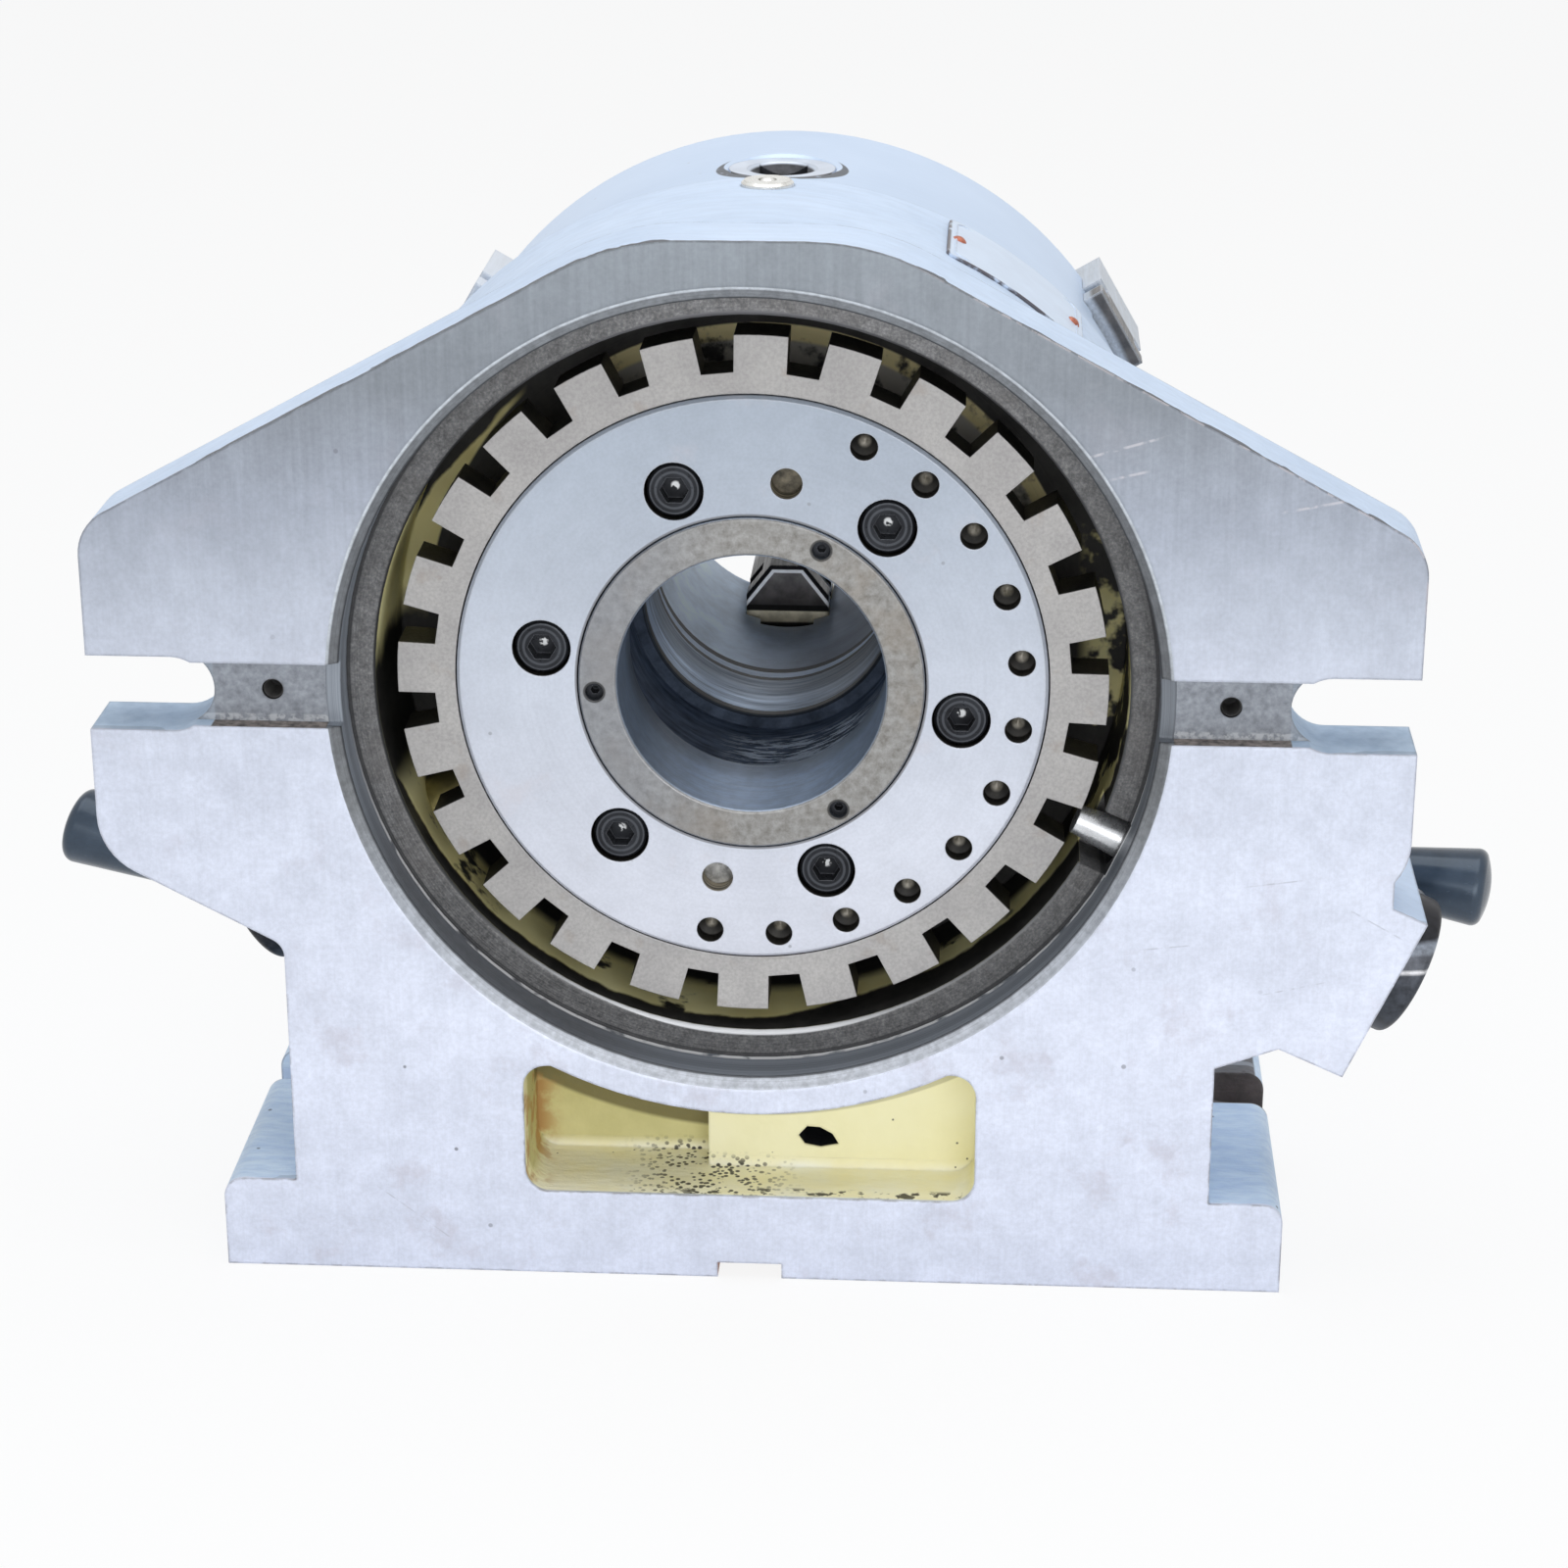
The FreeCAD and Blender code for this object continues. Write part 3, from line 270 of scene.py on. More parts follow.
def machined_face(f):
    """Bare cast iron, planed in fine upright strokes, with painted shade making it duller grey towards the
    top, stained and scored.
    """
    cloud = f.noise(14, 4)
    # Painted shade: the tone by height runs from pale low on the face to dull grey at the top.
    height = f.sum("MULTIPLY_ADD", f.z, 1.0 / CASTING_TOP, f.sum("MULTIPLY_ADD", cloud, 0.10, -0.05))
    bare = f.tone(height, (0.0, (0.69, 0.73, 0.86)), (0.10, (0.73, 0.77, 0.90)), (0.25, (0.77, 0.81, 0.94)),
                  (0.44, (0.70, 0.74, 0.86)), (0.58, (0.63, 0.67, 0.78)), (0.68, (0.50, 0.54, 0.63)),
                  (0.76, (0.37, 0.405, 0.48)), (0.87, (0.235, 0.26, 0.295)), (0.98, (0.26, 0.29, 0.325)))
    stroke = f.noise(1, 4, stretch=(620, 620, 26))
    fine = f.noise(1, 3, stretch=(2000, 2000, 90), shift=(5, 2, 9))
    bare = f.shade(bare, f.rise(stroke, 0.30, 0.70, 0.985, 1.015))
    bare = f.shade(bare, f.rise(fine, 0.30, 0.70, 0.985, 1.015))
    streak = f.both(f.sum("SUBTRACT", stroke, 0.5), f.rise(f.z, 180.0, 215.0))
    bare = f.shade(bare, f.sum("MULTIPLY_ADD", streak, 0.30, 1.0))
    bare = f.shade(bare, f.rise(f.noise(850, 4, rough=0.6, shift=(6, 1, 4)), 0.30, 0.70, 0.95, 1.05))
    bare = f.shade(bare, f.rise(f.noise(190, 5, rough=0.6, shift=(1, 6, 3)), 0.30, 0.70, 0.95, 1.04))
    bare = f.shade(bare, f.rise(f.noise(50, 5, shift=(4, 4, 4)), 0.30, 0.70, 0.94, 1.04))
    low = f.rise(f.z, 40.0, 170.0, 1.0, 0.25)
    smudge = f.rise(f.noise(42, 6, rough=0.65, shift=(1, 4, 2)), 0.54, 0.68)
    bare = f.mix(f.both(smudge, low, 0.42), bare, (0.50, 0.47, 0.53))
    pits = f.both(f.specks(75, 0.055), f.rise(f.noise(9, 2, shift=(3, 3, 3)), 0.45, 0.60))
    bare = f.mix(f.both(pits, 0.8), bare, (0.16, 0.16, 0.19))
    dark_marks = (((119.9, 108.9), (136.0, 111.3)), ((142.2, 104.4), (157.0, 96.0)),
                  ((124.7, 80.9), (138.6, 84.3)), ((-92.0, 22.0), (-74.0, 8.0)),
                  ((96.0, 92.0), (108.0, 93.5)))
    broken = f.rise(f.noise(330, 3, shift=(2, 2, 8)), 0.40, 0.58)
    for start, end in dark_marks:
        bare = f.mix(f.both(f.scratch(start, end, 0.26), broken, 0.42), bare, (0.33, 0.34, 0.39))
    light_marks = (((78.0, 214.0), (95.0, 219.0)), ((121.4, 201.4), (141.3, 205.5)),
                   ((84.0, 209.0), (92.0, 211.0)))
    for start, end in light_marks:
        bare = f.mix(f.both(f.scratch(start, end, 0.45), broken, 0.6), bare, (0.62, 0.60, 0.64))
    return bare, stroke


def turned_recess(f):
    """Dark turned iron: a lighter chamfer, a ringed wall, a pitted shelf and an inner lip, with painted light
    and shade by side, painted shade in the shelf corner and painted highlights on the seam and lip.
    """
    rings = f.lathe(2.6, 2.6)
    pitted = f.noise(1400, 3, rough=0.65)
    iron = f.mottle(rings, (0.13, 0.145, 0.168), (0.20, 0.22, 0.25))
    # Painted light: the wall is made lighter towards the bottom and the left.
    iron = f.shade(iron, f.rise(f.up, -20.0, -90.0, 1.0, 1.3))
    iron = f.shade(iron, f.rise(f.x, -50.0, -95.0, 1.0, 1.6))
    iron = f.shade(iron, f.rise(f.lathe(0.6, 0.7), 0.30, 0.70, 0.80, 1.18))
    # Painted shade: the lower left of the wall is darkened.
    lower_left = f.both(f.rise(f.x, -12.0, -45.0), f.rise(f.up, -20.0, -50.0))
    lower_left_shade = f.mottle(f.noise(500, 4), (0.095, 0.10, 0.11), (0.135, 0.14, 0.15))
    iron = f.mix(f.both(lower_left, 0.75), iron, lower_left_shade)
    shelf = f.rise(f.y, 13.1, 13.4)
    pits = f.tone(pitted, (0.30, (0.078, 0.079, 0.083)), (0.52, (0.125, 0.125, 0.128)),
                  (0.70, (0.19, 0.187, 0.185)))
    # Painted light: the shelf is made lighter at the top and the left, and darker at the upper left.
    pits = f.shade(pits, f.both(f.rise(f.up, 40.0, 92.0, 0.95, 1.35), f.rise(f.x, -60.0, -92.0, 1.0, 1.25)))
    upper_left = f.both(f.rise(f.x, 0.0, -50.0), f.rise(f.up, 10.0, 45.0))
    pits = f.shade(pits, f.rise(upper_left, 0.0, 1.0, 1.0, 0.82))
    pits = f.shade(pits, f.rise(f.noise(420, 5, rough=0.7, shift=(2, 8, 5)), 0.32, 0.68, 0.74, 1.28))
    iron = f.mix(shelf, iron, pits)
    iron = f.mix(f.both(f.rise(f.noise(36, 4), 0.52, 0.66), shelf, 0.25), iron, (0.15, 0.14, 0.135))
    # Painted highlight: a broken pale line where the wall meets the shelf, on the lower half.
    seam_highlight = f.both(f.within(f.y, 11.7, 13.2, 0.15), f.rise(f.noise(160, 3), 0.34, 0.50))
    iron = f.mix(f.both(seam_highlight, f.rise(f.up, 0.0, -50.0)), iron, (0.86, 0.86, 0.87))
    # Painted shade: a dark ring in the corner where the shelf meets the wall.
    corner = f.both(shelf, f.rise(f.r, 96.4, 96.9))
    iron = f.mix(f.both(corner, 0.85), iron, (0.022, 0.023, 0.026))
    # Painted highlight: the inner lip is pale at the bottom and fades towards the top and the sides.
    lip_r = f.sum("ADD", f.r, f.rise(f.sum("ABSOLUTE", f.x), 12.0, 40.0, 0.0, 0.65))
    lip = f.both(f.within(lip_r, 90.3, 91.8), f.within(f.y, 13.4, 14.5))
    lip_highlight = f.tone(f.rise(f.up, -92.0, 92.0), (0.0, (0.66, 0.67, 0.69)), (0.25, (0.24, 0.25, 0.26)),
                      (1.0, (0.15, 0.15, 0.16)))
    lip_fade = f.both(f.rise(f.x, -72.0, -30.0, 0.12, 1.0), f.rise(f.x, 8.0, 55.0, 1.0, 0.40))
    iron = f.mix(lip, iron, f.shade(lip_highlight, lip_fade))
    mouth = f.rise(f.y, 1.95, 1.75)
    # Painted light: the chamfer is pale at the bottom, darkest at the sides and a little lighter at the top,
    # with a pale painted highlight on its outer edge in the upper part.
    bright = f.tone(f.rise(f.up, -101.0, 101.0), (0.0, (0.46, 0.485, 0.535)), (0.11, (0.37, 0.395, 0.44)),
                    (0.30, (0.18, 0.19, 0.202)), (0.5, (0.135, 0.142, 0.152)), (0.84, (0.15, 0.16, 0.175)),
                    (1.0, (0.22, 0.235, 0.255)))
    bright = f.mix(f.both(f.rise(f.r, 99.6, 100.0), f.rise(f.up, -20.0, 30.0)), bright, (0.56, 0.60, 0.65))
    bright = f.shade(bright, f.rise(f.noise(450, 4, rough=0.7, shift=(1, 1, 6)), 0.32, 0.68, 0.84, 1.18))
    iron = f.mix(mouth, iron, f.shade(bright, f.rise(rings, 0.30, 0.70, 0.88, 1.10)))
    arris = f.both(f.within(f.y, 1.6, 2.2, 0.1), f.rise(f.r, 97.0, 97.3))
    iron = f.mix(f.both(arris, 0.8), iron, (0.035, 0.038, 0.043))
    return iron, rings


def pocket_paint(f, pocket):
    """Yellow paint in the pocket: painted shade in its deep end, a painted shadow under the arc and painted
    light on the floor, with crumbs, a hole in black painted shade and rust.
    """
    yellow = f.mottle(f.noise(38, 4, shift=(2, 2, 2)), (0.93, 0.88, 0.54), (0.99, 0.95, 0.65))
    # Painted shade: the deep end is darker yellow. Painted light: the pocket floor is paler.
    deep_end = f.both(f.rise(f.x, -11.2, -11.8), f.rise(f.y, 5.0, 9.0))
    yellow = f.mix(deep_end, yellow, f.mottle(f.noise(55, 5), (0.55, 0.51, 0.21), (0.73, 0.68, 0.33)))
    yellow = f.mix(f.both(deep_end, f.rise(f.z, 40.0, 23.0), 0.20), yellow, (0.98, 0.93, 0.58))
    lit_floor_paint = f.mottle(f.noise(60, 4), (1.0, 0.95, 0.66), (1.0, 1.0, 0.90))
    yellow = f.mix(f.both(pocket, f.rise(f.z, 26.0, 22.8)), yellow, lit_floor_paint)
    # Painted shadow: a dark olive band under the arc on the back wall.
    arc_shadow = f.both(f.rise(f.r, 124.2, 122.8), f.rise(f.x, -11.2, -11.8), f.rise(f.y, 20.0, 22.0))
    arc_shadow = f.either(arc_shadow, f.both(f.rise(f.r, 115.8, 115.2), f.rise(f.x, -11.2, -10.8), 0.45))
    yellow = f.mix(f.both(pocket, arc_shadow, 0.9), yellow, (0.16, 0.135, 0.045))
    crumbs = f.either(f.specks(620, 0.44), f.specks(330, 0.27, (3, 1, 2)))
    crumbs = f.both(crumbs, f.rise(f.noise(150, 3, shift=(5, 1, 2)), 0.36, 0.42))
    crumbs = f.both(crumbs, f.rise(f.z, 27.0, 23.0), f.within(f.x, -27.0, 6.0, 9.0))
    rim_dirt = f.both(f.rise(f.z, 23.6, 23.0), f.rise(f.y, 6.0, 4.0), f.rise(f.noise(330, 4), 0.52, 0.60))
    rim_dirt = f.either(f.both(rim_dirt, f.rise(f.x, -30.0, -10.0)), f.spot(55.6, 56.6, 1.6, 0.4))
    yellow = f.mix(f.both(pocket, f.either(crumbs, rim_dirt), 0.95), yellow, (0.030, 0.027, 0.022))
    yellow = f.mix(f.both(f.specks(190, 0.07), pocket, 0.85), yellow, (0.05, 0.045, 0.04))
    # Painted shade: the core hole in the back wall is painted black.
    yellow = f.mix(f.both(f.spot(16.5, 31.0, 5.4), f.rise(f.y, 17.2, 17.8)), yellow, (0.006, 0.007, 0.010))
    rust = f.both(f.rise(f.x, -48.0, -56.0), f.rise(f.noise(130, 4, shift=(6, 6, 1)), 0.46, 0.60))
    return f.mix(f.both(rust, pocket, 0.85), yellow, (0.50, 0.25, 0.07))


def chamber_paint(f):
    """Old yellow paint in the chamber: patches behind a ragged front edge, and black painted shade elsewhere.
    """
    oil = f.mottle(f.noise(45, 5, shift=(8, 0, 3)), (1.0, 0.94, 0.52), (0.92, 0.82, 0.36))
    patch = f.noise(75, 4, shift=(2, 7, 3))
    # The ragged front edge lies deepest at the top and deeper at the bottom; nearer the mouth the chamber
    # stays black painted shade.
    start = f.sum("ADD", f.rise(f.up, 34.0, 68.0, 10.5, 26.0), f.rise(f.up, -20.0, -34.0, 0.0, 7.0))
    start = f.sum("ADD", start, f.both(f.rise(f.x, -5.0, 30.0, 0.0, 8.0), f.rise(f.up, -20.0, -34.0)))
    front = f.sum("MULTIPLY_ADD", f.noise(70, 5, shift=(8, 0, 3)), 7.0, start)
    left = f.both(f.rise(f.x, -57.0, -63.0), f.rise(f.sum("MULTIPLY_ADD", patch, 12.0, f.up), 8.0, 17.0))
    behind = f.sum("MULTIPLY_ADD", patch, 3.0, f.rise(f.up, 56.0, 20.0, 83.5, 90.5))
    strip = f.both(f.rise(f.sum("SUBTRACT", f.r, behind), 0.5, -0.5), f.rise(f.r, 83.4, 84.2))
    left = f.both(left, f.either(f.rise(f.y, 53.4, 53.0), strip))
    right = f.both(f.rise(f.x, 78.0, 83.0), f.rise(patch, 0.47, 0.54))
    low = f.both(f.rise(f.up, -24.0, -34.0), f.rise(f.x, 86.0, 78.0), f.rise(patch, 0.36, 0.44))
    low = f.both(low, f.rise(f.y, 43.0, 36.0))
    shown = f.both(f.either(left, right, low), f.rise(f.sum("SUBTRACT", f.y, front), -1.0, 1.0))
    # Painted shade: the black of the chamber, mottled a little.
    black = f.mottle(f.noise(300, 3), (0.006, 0.006, 0.006), (0.022, 0.021, 0.019))
    end_wall = f.both(f.rise(f.y, 52.0, 53.0), f.rise(f.r, 79.4, 78.8))
    end_wall = f.both(end_wall, f.rise(f.x, -46.0, -38.0), f.rise(f.up, 20.0, 40.0))
    pale = f.mix(f.rise(f.r, 75.6, 74.6), (0.98, 0.86, 0.46), (0.52, 0.50, 0.45))
    black = f.mix(f.both(end_wall, f.rise(f.noise(150, 4), 0.36, 0.52)), black, pale)
    return f.mix(shown, black, oil)


def chipped_edge(f, colour, worn):
    """The line between face and paint: dark where the paint has chipped, with pale nicks on the top right."""
    chipped = f.sum("ADD", f.noise(32, 4, shift=(7, 7, 0)), f.both(f.within(f.x, -108.0, -14.0, 14.0), 0.11))
    line_depth = f.sum("MULTIPLY_ADD", f.rise(chipped, 0.47, 0.58), 2.6, 0.3)
    paint_line = f.both(f.rise(f.y, 0.1, 0.3), f.rise(f.sum("SUBTRACT", f.y, line_depth), 0.2, -0.2))
    colour = f.mix(f.both(paint_line, f.rise(f.z, 150.0, 175.0, 0.25, 0.9)), colour, (0.035, 0.035, 0.04))
    top_edge = f.both(worn, f.rise(f.z, 165.0, 185.0), f.rise(f.r, 101.5, 102.0))
    top_edge = f.both(top_edge, f.rise(f.noise(190, 4, shift=(3, 0, 7)), 0.40, 0.52))
    colour = f.mix(f.both(top_edge, 0.65), colour, (0.075, 0.075, 0.085))
    nicks = f.both(f.rise(f.x, 30.0, 60.0), f.rise(f.y, 0.1, 0.05), f.rise(f.z, 165.0, 185.0))
    nicks = f.both(nicks, f.rise(f.r, 102.5, 103.5), f.rise(f.noise(230, 5, shift=(9, 2, 4)), 0.46, 0.54))
    return f.mix(f.both(worn, nicks), colour, (0.76, 0.69, 0.70))


def sawn_keyway(f, colour, wide):
    """The keyways across the face: sawn grey iron with paler strips, a grimy ledge and black painted shade in
    the tapped holes.
    """
    key = f.both(f.within(f.up, -9.2, 9.2), f.rise(f.y, 0.25, 0.45), f.rise(f.y, 5.6, 5.3))
    key = f.both(key, f.rise(f.r, 99.4, 99.8), f.rise(wide, 128.6, 128.2))
    key_floor = f.both(f.within(f.up, -8.2, 8.2), f.within(f.y, 4.9, 5.6), f.within(wide, 100.0, 138.0))
    key = f.either(key, key_floor)
    sawn = f.mottle(f.noise(420, 4, rough=0.65), (0.19, 0.205, 0.235), (0.36, 0.385, 0.43))
    strip = f.either(f.rise(f.up, 6.2, 6.8), f.rise(f.up, -6.0, -6.6))
    strip = f.both(strip, f.rise(f.noise(600, 4), 0.42, 0.56))
    sawn = f.mix(f.both(strip, 0.7), sawn, (0.58, 0.60, 0.63))
    ledge = f.both(f.rise(f.up, -7.6, -7.9), f.rise(f.y, 4.9, 4.6))
    grime = f.mottle(f.noise(500, 4, shift=(2, 1, 0)), (0.07, 0.06, 0.055), (0.36, 0.31, 0.28))
    sawn = f.mix(ledge, sawn, grime)
    colour = f.mix(key, colour, sawn)
    # Painted shade: the tapped holes are painted near black.
    holes = f.either(f.spot(KEY_HOLE_X, SPINDLE_Z, 2.9), f.spot(-KEY_HOLE_X, SPINDLE_Z, 2.9))
    return f.mix(f.both(holes, f.rise(f.y, 5.1, 5.3)), colour, (0.016, 0.016, 0.018))


def painted_casting():
    """The housing: pale paint outside, a machined rear face, a turned recess and yellow paint inside."""
    f = Finish("painted_casting")
    soft, worn = f.edge(1.1)
    paint, ripple = pale_paint(f)
    bare, stroke = machined_face(f)
    iron, rings = turned_recess(f)
    wide = f.sum("ABSOLUTE", f.x)

    torn = f.sum("MULTIPLY_ADD", f.noise(260, 3), 1.6, 0.1)
    face = f.sum("LESS_THAN", f.y, torn)
    colour = chipped_edge(f, f.mix(face, paint, bare), worn)
    colour = sawn_keyway(f, colour, wide)
    chips = f.both(worn, f.rise(f.noise(170, 4, shift=(0, 9, 0)), 0.45, 0.58))
    colour = f.mix(f.both(chips, f.rise(f.z, 200.0, 20.0, 0.15, 0.8)), colour, (0.15, 0.13, 0.125))

    inside = f.both(f.rise(f.r, 101.2, 101.0), f.rise(f.y, 0.05, 0.2))
    colour = f.mix(inside, colour, iron)
    chamber = f.both(f.rise(f.r, 91.2, 91.0), f.rise(f.y, 14.4, 14.8))
    pocket = f.both(f.rise(f.y, 0.6, 1.2), f.rise(f.y, 60.0, 58.0), f.within(f.z, 22.0, 58.5))
    pocket = f.both(pocket, f.rise(wide, 56.2, 56.0), f.rise(f.r, 105.5, 106.0))
    yellow_zone = f.either(chamber, pocket)
    yellow = f.mix(chamber, pocket_paint(f, pocket), chamber_paint(f))
    colour = f.mix(yellow_zone, colour, yellow)

    foot_key = f.both(f.rise(wide, 8.3, 8.1), f.rise(f.z, 4.3, 4.1), f.rise(f.y, 0.2, 0.5))
    rusty = f.mottle(f.noise(300, 3), (0.26, 0.14, 0.10), (0.66, 0.27, 0.15))
    colour = f.mix(foot_key, colour, rusty)

    bare_iron = f.both(f.either(face, inside), f.without(yellow_zone))
    metal = f.both(bare_iron, 0.3)
    rough = f.rise(metal, 0.0, 0.3, 0.55, 0.46)
    skin = f.both(f.without(f.either(face, inside)), f.noise(300, 4, shift=(1, 1, 1)))
    relief = f.sum("MULTIPLY_ADD", skin, 1.5, f.both(inside, rings, 0.35))
    relief = f.sum("MULTIPLY_ADD", f.both(face, stroke), 0.05, relief)
    relief = f.sum("MULTIPLY_ADD", ripple, 1.6, relief)
    return f.done(colour, rough, metal, f.bump(relief, 0.22, soft))


def ground_disc():
    """Pale ground steel with faint turning marks, painted shade darker towards the top, holes in black
    painted shade with a painted glint, and a bright worn rim.
    """
    f = Finish("ground_disc")
    soft, worn = f.edge(0.5)
    rings = f.lathe(1.5, 0.3)
    # Painted shade: the disc is darker towards the top and paler towards the bottom.
    colour = f.tone(f.rise(f.up, -75.0, 75.0), (0.0, (0.68, 0.705, 0.79)), (0.5, (0.565, 0.605, 0.69)),
                    (1.0, (0.38, 0.43, 0.505)))
    colour = f.shade(colour, f.rise(f.noise(22, 4), 0.30, 0.70, 0.95, 1.05))
    colour = f.shade(colour, f.rise(rings, 0.30, 0.70, 0.985, 1.015))
    colour = f.shade(colour, f.rise(f.noise(1300, 2), 0.30, 0.70, 0.97, 1.03))
    colour = f.shade(colour, f.rise(f.noise(130, 5, rough=0.6, shift=(7, 2, 1)), 0.30, 0.70, 0.97, 1.03))
    tarnish = f.rise(f.noise(60, 5, shift=(3, 1, 5)), 0.60, 0.74)
    colour = f.mix(f.both(tarnish, 0.25), colour, (0.60, 0.54, 0.56))
    colour = f.mix(f.both(f.specks(90, 0.05), 0.6), colour, (0.26, 0.27, 0.30))
    colour = f.mix(f.both(f.rise(f.r, 42.7, 42.4), 0.8), colour, (0.16, 0.16, 0.17))
    colour = f.mix(f.both(worn, f.rise(f.y, 16.2, 15.6), f.rise(f.r, 46.0, 47.0)), colour, (0.74, 0.77, 0.82))
    deep = f.rise(f.y, 15.0, 15.3)
    # Painted shade: the walls of the holes are near black; the small holes get a painted glint at the bottom.
    wall = f.mottle(f.noise(300, 4), (0.010, 0.010, 0.010), (0.040, 0.037, 0.032))
    hole_glint = f.both(f.rise(f.y, 18.6, 19.4), f.rise(f.nearest(24, 65.0, -24.2), 1.9, 0.9))
    wall = f.mix(hole_glint, wall, f.mottle(f.noise(420, 3), (0.15, 0.135, 0.10), (0.50, 0.47, 0.41)))
    dowel_hole = f.rise(f.nearest(2, 50.8, 80.4), 4.4, 4.0)
    threads = f.rise(f.noise(1, 1, stretch=(20, 900, 20)), 0.40, 0.60)
    wall = f.mix(dowel_hole, wall, f.mottle(threads, (0.05, 0.045, 0.035), (0.42, 0.36, 0.25)))
    colour = f.mix(f.both(deep, f.rise(f.r, 70.6, 70.2)), colour, wall)
    return f.done(colour, f.rise(rings, 0.3, 0.7, 0.36, 0.46), 0.35, f.bump(rings, 0.012, soft))


def milled_ring():
    """Warm grey milled steel with fine grain, painted light by height, and black painted shade on the walls
    in the notches.
    """
    f = Finish("milled_ring")
    soft, worn = f.edge(0.4)
    grain = f.noise(1300, 4, rough=0.65)
    colour = f.mottle(f.noise(60, 4), (0.36, 0.35, 0.348), (0.43, 0.42, 0.412))
    colour = f.shade(colour, f.rise(grain, 0.30, 0.70, 0.88, 1.10))
    # Painted light: the ring is lighter at the bottom and darker at the top.
    colour = f.shade(colour, f.rise(f.up, -40.0, -85.0, 1.0, 1.15))
    colour = f.shade(colour, f.rise(f.up, 40.0, 85.0, 1.0, 0.90))
    stain = f.rise(f.noise(120, 5, shift=(4, 0, 2)), 0.58, 0.70)
    colour = f.mix(f.both(stain, 0.35), colour, (0.30, 0.25, 0.21))
    colour = f.mix(f.both(worn, 0.7), colour, (0.56, 0.55, 0.54))
    deep = f.rise(f.y, 15.8, 16.3)
    # Painted shade: the walls deep in the notches are near black.
    painted_shading = f.mottle(f.noise(130, 4), (0.008, 0.008, 0.008), (0.040, 0.037, 0.030))
    colour = f.mix(deep, colour, painted_shading)
    return f.done(colour, f.rise(grain, 0.3, 0.7, 0.38, 0.50), 0.4, f.bump(grain, 0.03, soft))


